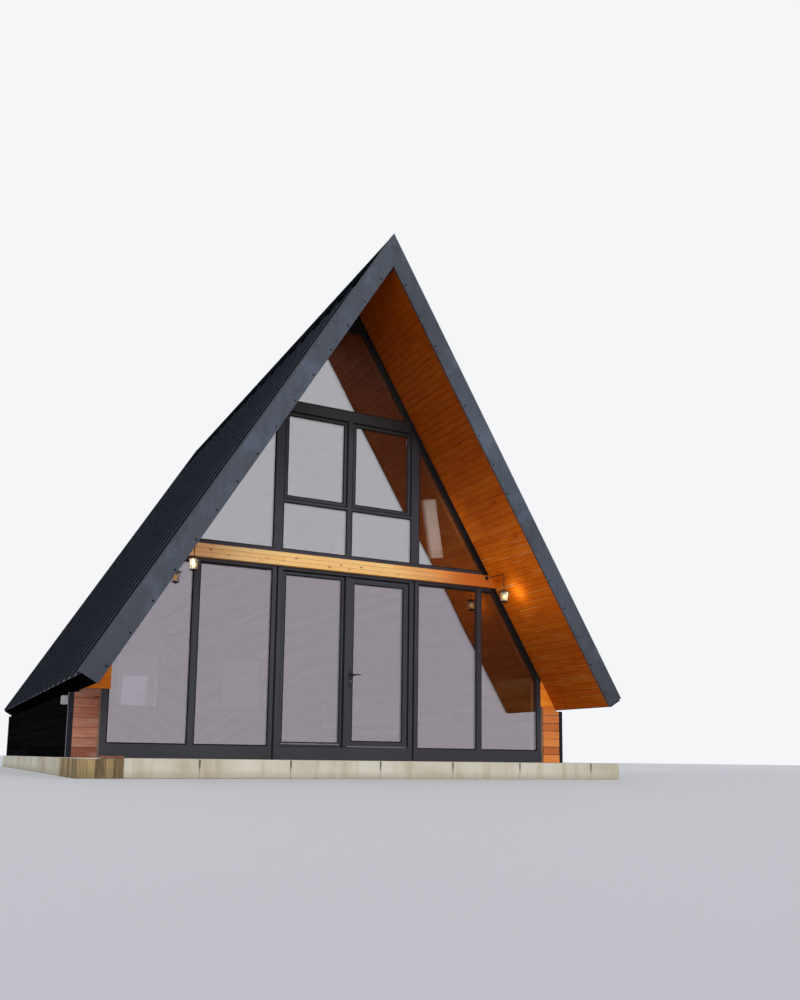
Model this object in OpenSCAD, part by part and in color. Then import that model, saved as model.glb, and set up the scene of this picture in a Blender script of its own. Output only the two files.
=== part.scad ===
// A-frame cabin with a glazed front, low side walls and a steep standing-seam roof.
// Millimetres. X runs across the front, the front looks towards -Y, and Z is up from the ground.
// The origin is on the ground, below the middle of the roof.

/* [Roof] */
// Pitch of both roof slopes in degrees
roof_pitch = 58.7; // [56:0.1:61]
// Length of the roof from front barge to back barge
roof_len = 10370; // [9000:10:12000]
// Reach of the soffit boards past the cores of the side walls
eave_reach = 39; // [20:1:60]
// Height of the underside at the ridge, above the base slab
ridge_under_h = 6630; // [6300:10:6900]
// Thickness of the boards under the roof panels
soffit_t = 20; // [12:1:30]
// Thickness of the insulated roof panel above the soffit boards
panel_t = 180; // [120:5:240]
// Thickness of the roof sheet
sheet_t = 6; // [3:1:10]
// Height of a standing seam above the sheet
seam_h = 26; // [15:1:40]
// Width of a standing seam
seam_w = 14; // [8:1:25]
// Distance from one standing seam to the next
seam_pitch = 500; // [300:10:600]
// Distance from the front of the roof to the first seam
first_seam = 250; // [100:10:400]
// Depth of a barge board across the slope
barge_depth = 244; // [236:1:300]
// Reach of a barge board below the soffit boards
barge_drop = 6; // [0:1:12]
// Thickness of a barge board
barge_t = 25; // [15:1:40]
// Reach of a ridge cap leg down the slope
ridge_cap_leg = 170; // [100:5:300]
// Thickness of the ridge cap
ridge_cap_t = 5; // [3:1:10]
// Thickness of the board that closes the eave
fascia_t = 18; // [10:1:30]

/* [Base and floors] */
// Height of the concrete base slab above the ground
slab_h = 220; // [150:5:350]
// Width of the ledge of the base slab outside the side walls
slab_ledge = 40; // [20:5:60]
// Distance that the slab stays back from the ends of the roof
slab_set_back = 20; // [10:5:100]
// Height of the inside floor above the slab
floor_t = 130; // [60:5:165]
// Height of the tie beam
beam_h = 185; // [140:5:260]
// Height of the tie beam's underside above the slab
beam_z = 2622; // [2500:2:2750]
// Reach of the tie beam in front of the glazing
beam_out = 60; // [40:5:120]

/* [Walls] */
// Height of the side walls' inner faces, from the slab to the soffit boards
side_wall_h = 1235; // [1180:5:1300]
// Thickness of the side wall core
wall_t = 220; // [180:5:235]
// Thickness of the battens and boards outside the side walls
side_cladding_t = 140; // [120:5:160]
// Thickness of the planks on the front ends of the side walls
board_t = 25; // [15:1:35]
// Gap between the eave and the boards outside the side walls
eave_gap = 15; // [8:1:25]
// Width of the black corner trims
trim_w = 60; // [40:5:70]
// Thickness of the black corner trims
trim_t = 20; // [10:1:30]
// Height of the planks on the wall ends above the slab
plank_top_h = 845; // [820:5:900]
// Reach of the left plate end past the wall towards the middle
plate_end_reach = 105; // [60:5:130]
// Reach of the right plate end past the wall towards the middle
right_plate_reach = 15; // [0:5:60]
// Thickness of the inside wall lining
wall_lining_t = 80; // [40:5:110]
// Depth of the roof lining below the soffit plane
roof_lining_d = 68; // [40:1:90]
// Thickness of the back wall
back_wall_t = 250; // [180:5:320]

/* [Glazed front] */
// Distance from the front of the roof to the glazing
front_overhang = 1320; // [1200:10:1500]
// Distance from the back wall to the back of the roof
back_overhang = 300; // [200:10:500]
// Depth of the window and door frames
frame_d = 80; // [60:2:100]
// Face width of the sloping frame along the roof
slope_frame_w = 68; // [55:1:95]
// Height of the bottom rail
bottom_rail_h = 175; // [140:5:200]
// Height of the rails under the tie beam
head_h = 45; // [35:1:80]
// Height of the rail over the tie beam
loft_rail_h = 56; // [40:1:80]
// Width of the two outer bays under the tie beam
outer_bay_top = 160; // [100:5:200]
// Width of the two thin posts
thin_post_w = 80; // [60:2:120]
// Outer edge of the two main posts, from the middle
main_post_out = 1120; // [1100:5:1160]
// Width of the two main posts on the upper floor
main_post_w = 124; // [100:2:150]
// Width of the two fixed frame members beside the doorway
side_member_w = 54; // [40:2:80]
// Width of the door jambs
jamb_w = 62; // [50:1:75]
// Width of the deep joint between a door jamb and the next frame
frame_joint = 28; // [10:1:40]
// Width of the middle mullion on the upper floor
mullion_w = 68; // [50:2:120]
// Height of the cross bar's underside above the slab
cross_bar_z = 3535; // [3300:5:3700]
// Height of the cross bar
cross_bar_h = 40; // [30:2:100]
// Face width of the upper sashes
sash_w = 52; // [35:1:60]
// Depth of the upper sashes
sash_d = 50; // [40:1:52]
// Distance that the sashes stand back from the face of the frame
sash_set_back = 26; // [14:1:28]
// Height of the transom over the sashes
transom_h = 150; // [100:2:180]
// Thickness of the insulated glass
glass_t = 24; // [16:1:32]
// Distance that the fixed glass stands back from the face of the frame
glass_set_back = 14; // [10:1:40]

/* [Doors] */
// Gap between a door leaf and what stands round it
leaf_gap = 7; // [6:0.5:9]
// Gap between the cover strip and the left leaf
meeting_gap = 14; // [13:0.5:18]
// Depth of a door leaf
leaf_d = 50; // [40:1:52]
// Distance that the leaves stand back from the face of the frame
leaf_set_back = 28; // [18:1:30]
// Face width of the right leaf's frame, which carries the handle
leaf_w = 75; // [60:1:85]
// Face width of the left leaf's frame
left_leaf_w = 44; // [38:1:80]
// Width of the strip that covers the meeting of the leaves
cover_strip_w = 50; // [40:1:70]
// Reach of the cover strip in front of the leaves
cover_strip_out = 6; // [4:1:8]
// Height of the door handle above the inside floor
handle_h = 1060; // [950:5:1150]
// Reach of the handle from the leaf
handle_reach = 55; // [45:1:65]

/* [Lanterns] */
// Reach of the lantern arm from the beam
lantern_arm = 390; // [300:5:450]
// Distance from the end of the tie beam to the foot of a lantern arm
lantern_inset = 95; // [85:5:140]
// Outward turn of the lantern arms in degrees
lantern_turn = 9; // [0:1:12]
// Width of the lantern glass at the top
lantern_w = 128; // [90:2:150]
// Height of the lantern glass
lantern_glass_h = 130; // [110:5:160]
// Length of the rod from the arm to the lantern's cap
lantern_drop = 230; // [80:5:280]
// Height of the lantern's cap
lantern_cap_h = 44; // [30:2:60]

/* [Back windows] */
// Width of a ground floor back window
back_win_w = 1000; // [800:10:1100]
// Height of a ground floor back window
back_win_h = 1250; // [1000:10:1400]
// Height of the back window sills above the slab
back_sill_z = 1030; // [900:10:1100]
// Distance of the ground floor back windows from the middle
back_win_x = 1150; // [1000:10:1250]
// Width of the upper back window
loft_win_w = 950; // [800:10:1100]
// Height of the upper back window
loft_win_h = 1150; // [900:10:1250]
// Height of the upper back window's sill above the slab
loft_sill_z = 3560; // [3400:10:3700]
// Face width of the back window frames
back_frame_w = 70; // [50:1:90]

/* [Hidden] */
$fn = 48;
// Gap that keeps a piece clear of the sloping face that it seats on
seat_gap = 0.3;
// Flat top of a main post that the transom rests on
post_seat = 4;
// Distance from the beam to the back end of a lantern arm, inside the wall plate
arm_seat = 3;
run = cos(roof_pitch);
rise = sin(roof_pitch);
steep = tan(roof_pitch);
front_y = -roof_len / 2;
back_y = roof_len / 2;
glaze_y = front_y + front_overhang;
inside_y = glaze_y + frame_d;
back_out_y = back_y - back_overhang;
back_in_y = back_out_y - back_wall_t;
ridge_z = slab_h + ridge_under_h;
deck_n = soffit_t + panel_t;
sheet_n = deck_n + sheet_t;
under_soffit = -seat_gap;
under_lining = -roof_lining_d - seat_gap;
in_slope_frame = -slope_frame_w - seat_gap;
wall_in = round(slope_x(slab_h + side_wall_h, 0));
wall_out = wall_in + wall_t;
slope_len = (wall_out + eave_reach) / run;
beam_under = slab_h + beam_z;
beam_top = beam_under + beam_h;
floor_z = slab_h + floor_t;
frame_out = wall_in;
lining_in = wall_in - wall_lining_t;
cladding_out = wall_out + side_cladding_t;
trim_out = cladding_out + trim_t;
eave_z = floor(ridge_z - (slope_len + fascia_t) * rise + soffit_t * run - eave_gap);
plank_out = trim_out - trim_w;
slab_half = trim_out + slab_ledge;
plank_z = slab_h + plank_top_h;
ground_rail_z = slab_h + bottom_rail_h;
ground_head_z = beam_under - head_h;
loft_rail_z = beam_top + loft_rail_h;
thin_post_out = round(slope_x(beam_under, -slope_frame_w) - outer_bay_top);
thin_post_in = thin_post_out - thin_post_w;
main_post_in = main_post_out - main_post_w;
side_member_in = main_post_out - side_member_w;
jamb_out = side_member_in - frame_joint;
jamb_in = jamb_out - jamb_w;
bar_z = slab_h + cross_bar_z;
sash_z = bar_z + cross_bar_h;
transom_z = floor(slope_z(main_post_in + post_seat, in_slope_frame));
transom_top = transom_z + transom_h;
leaf_out = jamb_in - leaf_gap;
leaf_z = ground_rail_z + leaf_gap;
leaf_top = ground_head_z - leaf_gap;
leaf_h = leaf_top - leaf_z;
leaf_y = glaze_y + leaf_set_back;
leaf_in_y = leaf_y + leaf_d;
strip_half = cover_strip_w / 2;
left_meet = -strip_half - meeting_gap;
right_meet = strip_half;
glass_y = glaze_y + glass_set_back;
sash_y = glaze_y + sash_set_back;
hinge_r = 7;
hinge_x = jamb_in - leaf_gap / 2;
hinge_y = inside_y + hinge_r + 5;
hinge_leaf_h = 50;
hinge_play = 0.3;
hinge_heights = [leaf_z + 0.08 * leaf_h, leaf_z + 0.5 * leaf_h, leaf_z + 0.92 * leaf_h];
handle_z = floor_z + handle_h;
lantern_z = beam_under + 0.76 * beam_h;
lantern_foot_x = round(slope_x(lantern_z, 0) - lantern_inset);
lantern_foot_y = glaze_y - beam_out;
lantern_x = lantern_foot_x + lantern_arm * sin(lantern_turn);
lantern_y = lantern_foot_y - arm_seat - lantern_arm * cos(lantern_turn);
lantern_low_r = lantern_w / 2 - 13;
seam_last = floor((roof_len - first_seam - barge_t - seam_w) / seam_pitch);

// Height of a plane parallel to the slope, n above its underside, at x from the middle
function slope_z(x, n) = ridge_z - x * steep + n / run;
// Distance from the middle of such a plane at height z
function slope_x(z, n) = (ridge_z + n / run - z) / steep;
// Point u down the slope and n above its underside
function on_slope(u, n) = [u * run + n * rise, ridge_z - u * rise + n * run];
// The same point on the left
function left_of(p) = [-p[0], p[1]];

// A box between its lowest and highest corners
module box(x0, x1, y0, y1, z0, z1) {
    translate([x0, y0, z0]) cube([x1 - x0, y1 - y0, z1 - z0]);
}

// An outline in X and Z, given its depth from y0 to y1
module wall_shape(points, y0, y1) {
    translate([0, y1, 0])
        rotate([90, 0, 0])
            linear_extrude(y1 - y0)
                polygon(points);
}

// The right-hand piece, or its mirror image on the left
module hand(side) {
    if (side < 0) mirror([1, 0, 0]) children();
    else children();
}

// The same piece on both sides
module both_sides() {
    children();
    mirror([1, 0, 0]) children();
}

// A layer of the right slope from the ridge down, between two heights above its underside
module slope_layer(n0, n1, y0, y1) {
    wall_shape([[0, slope_z(0, n0)], [0, slope_z(0, n1)], on_slope(slope_len, n1),
        on_slope(slope_len, n0)], y0, y1);
}

module base_slab() {
    color("#b9b3a4")
        box(-slab_half, slab_half, front_y + slab_set_back, back_y - slab_set_back, 0, slab_h);
}

module ground_floor() {
    color("#a98358")
        box(-lining_in, lining_in, inside_y, back_in_y, slab_h, floor_z);
}

// A level piece between the slopes, cut to them at both ends
module between_slopes(z0, z1, n, y0, y1) {
    wall_shape([[-slope_x(z0, n), z0], [slope_x(z0, n), z0], [slope_x(z1, n), z1],
        [-slope_x(z1, n), z1]], y0, y1);
}

module loft_floor() {
    color("#a98358")
        between_slopes(beam_under, beam_top, under_lining, inside_y, back_in_y);
}

module knee_wall(side) {
    color("#6d6a66")
        hand(side)
            wall_shape([[wall_in, slab_h], [wall_out, slab_h],
                [wall_out, slope_z(wall_out, under_soffit)],
                [wall_in, slope_z(wall_in, under_soffit)]], glaze_y, back_out_y);
}

module side_cladding() {
    color("#22242a")
        both_sides()
            box(wall_out, cladding_out, glaze_y, back_out_y, slab_h, eave_z);
}

module pillar_planks() {
    plank_inset = 20;
    color("#9c6650")
        both_sides()
            wall_shape([[frame_out + plank_inset, slab_h], [plank_out, slab_h],
                [plank_out, eave_z],
                [slope_x(eave_z, under_soffit), eave_z],
                [slope_x(plank_z, under_soffit), plank_z],
                [frame_out + plank_inset, plank_z]], glaze_y - board_t, glaze_y);
}

module plate_end(reach) {
    in_x = frame_out - reach;
    wall_shape([[in_x, plank_z], [slope_x(plank_z, under_soffit), plank_z],
        [in_x, slope_z(in_x, under_soffit)]], glaze_y - board_t, glaze_y);
}

module plate_ends() {
    color("#b8641f") {
        mirror([1, 0, 0]) plate_end(plate_end_reach);
        plate_end(right_plate_reach);
    }
}

module corner_trims() {
    side_leg = 50;
    color("#1d1e22")
        both_sides() {
            box(plank_out, trim_out, glaze_y - board_t, glaze_y, slab_h, eave_z);
            box(cladding_out, trim_out, glaze_y - 1, glaze_y + side_leg, slab_h, eave_z);
            box(cladding_out, trim_out, back_out_y - side_leg, back_out_y, slab_h, eave_z);
        }
}

module roof_panel(side) {
    color("#3c3f46")
        hand(side)
            slope_layer(soffit_t, deck_n, front_y + barge_t, back_y - barge_t);
}

module roof_sheets(side) {
    seam_u = 60;
    color("#2f3238")
        hand(side) {
            slope_layer(deck_n, sheet_n, front_y + barge_t, back_y - barge_t);
            for (i = [0 : seam_last]) {
                seam_y = front_y + first_seam + i * seam_pitch;
                wall_shape([on_slope(seam_u, sheet_n - 1), on_slope(seam_u, sheet_n + seam_h),
                    on_slope(slope_len, sheet_n + seam_h), on_slope(slope_len, sheet_n - 1)],
                    seam_y, seam_y + seam_w);
            }
        }
}

module ridge_cap() {
    low_n = sheet_n + seam_h;
    top_n = low_n + ridge_cap_t;
    color("#34373e")
        wall_shape([[0, slope_z(0, top_n)], on_slope(ridge_cap_leg, top_n),
            on_slope(ridge_cap_leg, low_n), [0, slope_z(0, low_n)],
            left_of(on_slope(ridge_cap_leg, low_n)), left_of(on_slope(ridge_cap_leg, top_n))],
            front_y + barge_t, back_y - barge_t);
}

// The barge boards of one slope, at the front and at the back
module barges(side) {
    color("#474b55")
        for (y0 = [front_y, back_y - barge_t])
            hand(side)
                slope_layer(-barge_drop, barge_depth - barge_drop, y0, y0 + barge_t);
}

module eave_fascias() {
    color("#202227")
        both_sides()
            wall_shape([on_slope(slope_len + seat_gap, soffit_t),
                on_slope(slope_len + seat_gap, sheet_n), on_slope(slope_len + fascia_t, sheet_n),
                on_slope(slope_len + fascia_t, soffit_t)], front_y, back_y);
}

module soffit(side) {
    color("#a85a1c")
        hand(side)
            slope_layer(0, soffit_t, front_y + barge_t, back_y - barge_t);
}

module roof_lining(side) {
    color("#a87f4a")
        hand(side)
            wall_shape([[0, slope_z(0, under_soffit)], [wall_in, slope_z(wall_in, under_soffit)],
                [wall_in, slope_z(wall_in, -roof_lining_d)], [0, slope_z(0, -roof_lining_d)]],
                inside_y, back_in_y);
}

module wall_linings() {
    color("#a87f4a")
        both_sides()
            wall_shape([[lining_in, slab_h], [wall_in, slab_h],
                [wall_in, slope_z(wall_in, under_lining)],
                [lining_in, slope_z(lining_in, under_lining)]], inside_y, back_in_y);
}

module tie_beam() {
    color("#e0a65c")
        between_slopes(beam_under, beam_top, under_soffit, glaze_y - beam_out, inside_y);
}

// The fixed half of a hinge: two knuckles, each with its plate on the jamb
module jamb_hinge(z) {
    knuckle_h = 28;
    plate_w = 34;
    for (side = [-1, 1])
        translate([0, 0, z + side * ((hinge_leaf_h + knuckle_h) / 2 + hinge_play)]) {
            translate([hinge_x, hinge_y, 0])
                cylinder(h = knuckle_h, r = hinge_r, center = true);
            box(jamb_in, jamb_in + plate_w, inside_y - 1, hinge_y,
                -knuckle_h / 2, knuckle_h / 2);
        }
}

module ground_posts() {
    joint_depth = 20;
    color("#3b3d46")
        both_sides() {
            wall_shape([[lining_in, slab_h], [frame_out, slab_h],
                [frame_out, slope_z(frame_out, under_soffit)],
                [lining_in, slope_z(lining_in, under_soffit)]], glaze_y, inside_y);
            box(thin_post_in, thin_post_out, glaze_y, inside_y, slab_h, beam_under);
            box(side_member_in, main_post_out, glaze_y, inside_y, slab_h, beam_under);
            box(jamb_in, jamb_out, glaze_y, inside_y, slab_h, beam_under);
            box(jamb_out - 1, side_member_in + 1, glaze_y + joint_depth, inside_y - joint_depth,
                slab_h, beam_under);
            for (z = hinge_heights) jamb_hinge(z);
        }
}

module ground_rails() {
    n = in_slope_frame;
    color("#3b3d46") {
        both_sides() {
            box(thin_post_out, lining_in, glaze_y, inside_y, slab_h, ground_rail_z);
            box(main_post_out, thin_post_in, glaze_y, inside_y, slab_h, ground_rail_z);
            box(main_post_out, thin_post_in, glaze_y, inside_y, ground_head_z, beam_under);
            wall_shape([[thin_post_out, ground_head_z], [slope_x(ground_head_z, n), ground_head_z],
                [slope_x(beam_under, n), beam_under], [thin_post_out, beam_under]],
                glaze_y, inside_y);
        }
        box(-jamb_in, jamb_in, glaze_y, inside_y, slab_h, ground_rail_z);
        box(-jamb_in, jamb_in, glaze_y, inside_y, ground_head_z, beam_under);
    }
}

module slope_frame(side) {
    out_n = under_soffit;
    in_n = -slope_frame_w;
    color("#3b3d46")
        hand(side) {
            wall_shape([[lining_in, slope_z(lining_in, out_n)],
                [slope_x(beam_under, out_n), beam_under], [slope_x(beam_under, in_n), beam_under],
                [lining_in, slope_z(lining_in, in_n)]], glaze_y, inside_y);
            wall_shape([[slope_x(beam_top, out_n), beam_top], [0, slope_z(0, out_n)],
                [0, slope_z(0, in_n)], [slope_x(beam_top, in_n), beam_top]], glaze_y, inside_y);
        }
}

module loft_posts() {
    n = in_slope_frame;
    color("#3b3d46") {
        both_sides()
            wall_shape([[main_post_in, loft_rail_z], [main_post_out, loft_rail_z],
                [main_post_out, slope_z(main_post_out, n)],
                [slope_x(transom_z, n), transom_z], [main_post_in, transom_z]],
                glaze_y, inside_y);
        box(-mullion_w / 2, mullion_w / 2, glaze_y, inside_y, loft_rail_z, transom_z);
    }
}

module loft_rails() {
    n = in_slope_frame;
    color("#3b3d46") {
        between_slopes(beam_top, loft_rail_z, n, glaze_y, inside_y);
        between_slopes(transom_z, transom_top, n, glaze_y, inside_y);
        both_sides()
            box(mullion_w / 2, main_post_in, glaze_y, inside_y, bar_z, sash_z);
    }
}

module loft_sashes() {
    color("#41434d")
        both_sides()
            difference() {
                box(mullion_w / 2, main_post_in, sash_y, sash_y + sash_d, sash_z, transom_z);
                box(mullion_w / 2 + sash_w, main_post_in - sash_w, glaze_y, inside_y,
                    sash_z + sash_w, transom_z - sash_w);
            }
}

// A sheet of insulated glass, y0 being its outer face
module pane(points, y0 = glass_y) {
    color("#8f95a3", 0.5)
        wall_shape(points, y0, y0 + glass_t);
}

module ground_glass() {
    n = in_slope_frame;
    both_sides() {
        pane([[thin_post_out, ground_rail_z], [lining_in, ground_rail_z],
            [lining_in, slope_z(lining_in, n)], [slope_x(ground_head_z, n), ground_head_z],
            [thin_post_out, ground_head_z]]);
        pane([[main_post_out, ground_rail_z], [thin_post_in, ground_rail_z],
            [thin_post_in, ground_head_z], [main_post_out, ground_head_z]]);
    }
}

module loft_glass() {
    n = in_slope_frame;
    m = mullion_w / 2;
    sash_in = m + sash_w;
    sash_out = main_post_in - sash_w;
    both_sides() {
        pane([[main_post_out, loft_rail_z], [slope_x(loft_rail_z, n), loft_rail_z],
            [main_post_out, slope_z(main_post_out, n)]]);
        pane([[m, loft_rail_z], [main_post_in, loft_rail_z], [main_post_in, bar_z], [m, bar_z]]);
        pane([[sash_in, sash_z + sash_w], [sash_out, sash_z + sash_w],
            [sash_out, transom_z - sash_w], [sash_in, transom_z - sash_w]],
            sash_y + (sash_d - glass_t) / 2);
    }
    top_x = slope_x(transom_top, n);
    pane([[-top_x, transom_top], [top_x, transom_top], [0, slope_z(0, n)]]);
}

// The frame of a door leaf from its meeting edge to its hinge edge, w wide all round
module leaf_frame(meet_x, w) {
    difference() {
        box(meet_x, leaf_out, leaf_y, leaf_in_y, leaf_z, leaf_top);
        box(meet_x + w, leaf_out - w, leaf_y - 10, leaf_in_y + 10, leaf_z + w, leaf_top - w);
    }
}

module leaf_glass(meet_x, w) {
    pane_y = leaf_y + (leaf_d - glass_t) / 2;
    color("#8f95a3", 0.5)
        box(meet_x + w, leaf_out - w, pane_y, pane_y + glass_t, leaf_z + w, leaf_top - w);
}

// The moving half of a hinge: one knuckle, its neck and its plate on the leaf
module leaf_hinge(z) {
    plate_w = 36;
    plate_t = 6;
    neck_w = 12;
    translate([0, 0, z]) {
        translate([hinge_x, hinge_y, 0])
            cylinder(h = hinge_leaf_h, r = hinge_r, center = true);
        box(leaf_out - plate_w, leaf_out, leaf_in_y - 1, leaf_in_y + plate_t,
            -hinge_leaf_h / 2, hinge_leaf_h / 2);
        box(leaf_out - neck_w, leaf_out, leaf_in_y - 1, hinge_y,
            -hinge_leaf_h / 2, hinge_leaf_h / 2);
    }
}

module left_door_leaf() {
    color("#41434d")
        mirror([1, 0, 0]) {
            leaf_frame(-left_meet, left_leaf_w);
            for (z = hinge_heights) leaf_hinge(z);
        }
}

module right_door_leaf() {
    strip_y = leaf_y - cover_strip_out;
    color("#41434d") {
        leaf_frame(right_meet, leaf_w);
        for (z = hinge_heights) leaf_hinge(z);
        box(-strip_half, right_meet + 12, strip_y, leaf_y + 30, leaf_z, leaf_top);
    }
}

module left_door_glass() {
    mirror([1, 0, 0]) leaf_glass(-left_meet, left_leaf_w);
}

module right_door_glass() {
    leaf_glass(right_meet, leaf_w);
}

// A long round-ended plate with a lever and a lock cylinder, standing out from y = 0 towards -Y
module lever_set() {
    plate_w = 34;
    plate_t = 9;
    plate_above = 48;
    plate_below = 175;
    cylinder_z = -92;
    cylinder_r = 8.5;
    lever_l = 110;
    lever_r = 9;
    bend_r = 14;
    rotate([90, 0, 0]) {
        linear_extrude(plate_t) {
            translate([0, plate_above]) circle(d = plate_w);
            translate([-plate_w / 2, -plate_below]) square([plate_w, plate_above + plate_below]);
            translate([0, -plate_below]) circle(d = plate_w);
        }
        translate([0, cylinder_z, 0]) cylinder(h = plate_t + 5, r = cylinder_r);
        cylinder(h = plate_t + 8, r = lever_r + 5);
        cylinder(h = handle_reach - bend_r, r = lever_r);
    }
    translate([bend_r, -handle_reach + bend_r, 0])
        rotate([0, 0, 180])
            rotate_extrude(angle = 90)
                translate([bend_r, 0]) circle(r = lever_r);
    translate([bend_r, -handle_reach, 0]) rotate([0, 90, 0]) cylinder(h = lever_l, r = lever_r);
    translate([bend_r + lever_l, -handle_reach, 0]) sphere(r = lever_r);
}

module door_handle() {
    color("#26272c")
        translate([right_meet + leaf_w * 0.6, 0, handle_z]) {
            translate([0, leaf_y, 0]) lever_set();
            translate([0, leaf_in_y, 0]) mirror([0, 1, 0]) lever_set();
        }
}

// The metal of a lantern: wall plate, arm, rod, cap, candle, base and tip
module lantern_frame() {
    plate_r = 30;
    arm_r = 8;
    rim_h = 10;
    rim_out = 14;
    candle_r = 7;
    base_h = 14;
    tip_r = 13;
    cap_r = lantern_w / 2 + rim_out;
    color("#1b1a1a") {
        translate([lantern_foot_x, lantern_foot_y, lantern_z]) {
            rotate([90, 0, 0]) cylinder(h = 14, r = plate_r);
            translate([0, -arm_seat, 0])
                rotate([90, 0, lantern_turn])
                    cylinder(h = lantern_arm, r = arm_r);
        }
        translate([lantern_x, lantern_y, lantern_z]) sphere(r = arm_r);
        translate([lantern_x, lantern_y, lantern_z - lantern_drop]) {
            cylinder(h = lantern_drop, r = arm_r - 2);
            translate([0, 0, -lantern_cap_h])
                rotate_extrude()
                    polygon([[0, 0], [cap_r, 0], [cap_r, rim_h], [cap_r * 0.6, rim_h * 2.2],
                        [arm_r + 4, lantern_cap_h], [0, lantern_cap_h]]);
            translate([0, 0, -lantern_cap_h - lantern_glass_h - 1])
                cylinder(h = lantern_glass_h + 2, r = candle_r);
            translate([0, 0, -lantern_cap_h - lantern_glass_h - base_h])
                cylinder(h = base_h, r = lantern_low_r + 3);
            translate([0, 0, -lantern_cap_h - lantern_glass_h - base_h - tip_r * 0.7])
                sphere(r = tip_r);
        }
    }
}

module lantern_frames() {
    both_sides() lantern_frame();
}

module lantern_glass() {
    wall = 4;
    r_top = lantern_w / 2;
    color("#ffe9b0", 0.6)
        both_sides()
            translate([lantern_x, lantern_y,
                lantern_z - lantern_drop - lantern_cap_h - lantern_glass_h])
                rotate_extrude()
                    polygon([[lantern_low_r - wall, 0], [lantern_low_r, 0],
                        [r_top, lantern_glass_h], [r_top - wall, lantern_glass_h]]);
}

// The clear hole or the frame of a window in the back wall
module window_block(x, z, w, h, inset, y0, y1) {
    box(x - w / 2 + inset, x + w / 2 - inset, y0, y1, z + inset, z + h - inset);
}

module each_back_window(inset, y0, y1) {
    both_sides()
        window_block(back_win_x, slab_h + back_sill_z, back_win_w, back_win_h, inset, y0, y1);
    window_block(0, slab_h + loft_sill_z, loft_win_w, loft_win_h, inset, y0, y1);
}

module back_wall() {
    color("#8a5a45")
        difference() {
            wall_shape([[-wall_in, slab_h], [wall_in, slab_h],
                [wall_in, slope_z(wall_in, under_soffit)], [0, slope_z(0, under_soffit)],
                [-wall_in, slope_z(wall_in, under_soffit)]], back_in_y, back_out_y);
            each_back_window(0, back_in_y - 1, back_out_y + 1);
        }
}

module back_window_frames() {
    frame_y = back_out_y - 40 - frame_d;
    color("#3b3d46")
        difference() {
            each_back_window(0, frame_y, frame_y + frame_d);
            each_back_window(back_frame_w, frame_y - 1, frame_y + frame_d + 1);
        }
}

module back_glass() {
    pane_y = back_out_y - 40 - (frame_d + glass_t) / 2;
    color("#8f95a3", 0.5)
        each_back_window(back_frame_w, pane_y, pane_y + glass_t);
}

module junction_box() {
    box_d = 80;
    box_w = 100;
    box_h = 110;
    color("#8d8f90")
        box(-cladding_out - box_d, -cladding_out, glaze_y + 80, glaze_y + 80 + box_w,
            eave_z - 40 - box_h, eave_z - 40);
}

// The white unit on the right roof lining, with the arm that holds it
module indoor_unit() {
    unit_w = 220;
    unit_d = 130;
    unit_h = 900;
    unit_z = beam_top + 690;
    unit_x = slope_x(unit_z, -roof_lining_d) - 336;
    unit_y = inside_y + 120;
    lean = -9;
    arm_h = 60;
    edge_r = 45;
    slot_w = 120;
    slot_h = 70;
    color("#d8d4cc") {
        translate([unit_x, unit_y + unit_d / 2, unit_z])
            rotate([0, lean, 0])
                difference() {
                    translate([0, 0, -unit_h / 2])
                        linear_extrude(unit_h) {
                            square([unit_w - 2 * edge_r, unit_d], center = true);
                            square([unit_w, unit_d - 2 * edge_r], center = true);
                            for (x = [-1, 1], y = [-1, 1])
                                translate([x * (unit_w / 2 - edge_r), y * (unit_d / 2 - edge_r)])
                                    circle(r = edge_r);
                        }
                    translate([-slot_w / 2, -unit_d / 2 - 1, -unit_h / 2 + 40])
                        cube([slot_w, 41, slot_h]);
                }
        wall_shape([[unit_x, unit_z - arm_h], [slope_x(unit_z - arm_h, under_lining),
            unit_z - arm_h], [slope_x(unit_z, under_lining), unit_z], [unit_x, unit_z]],
            unit_y + 40, unit_y + 90);
    }
}

base_slab();
ground_floor();
loft_floor();
knee_wall(-1);  // left_knee_wall
knee_wall(1);  // right_knee_wall
side_cladding();
pillar_planks();
plate_ends();
corner_trims();
roof_panel(-1);  // left_roof_panel
roof_panel(1);  // right_roof_panel
roof_sheets(-1);  // left_roof_sheets
roof_sheets(1);  // right_roof_sheets
ridge_cap();
barges(-1);  // left_barges
barges(1);  // right_barges
eave_fascias();
soffit(-1);  // left_soffit
soffit(1);  // right_soffit
roof_lining(-1);  // left_roof_lining
roof_lining(1);  // right_roof_lining
wall_linings();
tie_beam();
ground_posts();
ground_rails();
slope_frame(-1);  // left_slope_frame
slope_frame(1);  // right_slope_frame
loft_posts();
loft_rails();
loft_sashes();
ground_glass();
loft_glass();
left_door_leaf();
left_door_glass();
right_door_leaf();
right_door_glass();
door_handle();
lantern_frames();
lantern_glass();
back_wall();
back_window_frames();
back_glass();
junction_box();
indoor_unit();
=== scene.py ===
import math
import bmesh
import bpy
from mathutils import Matrix, Vector


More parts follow.
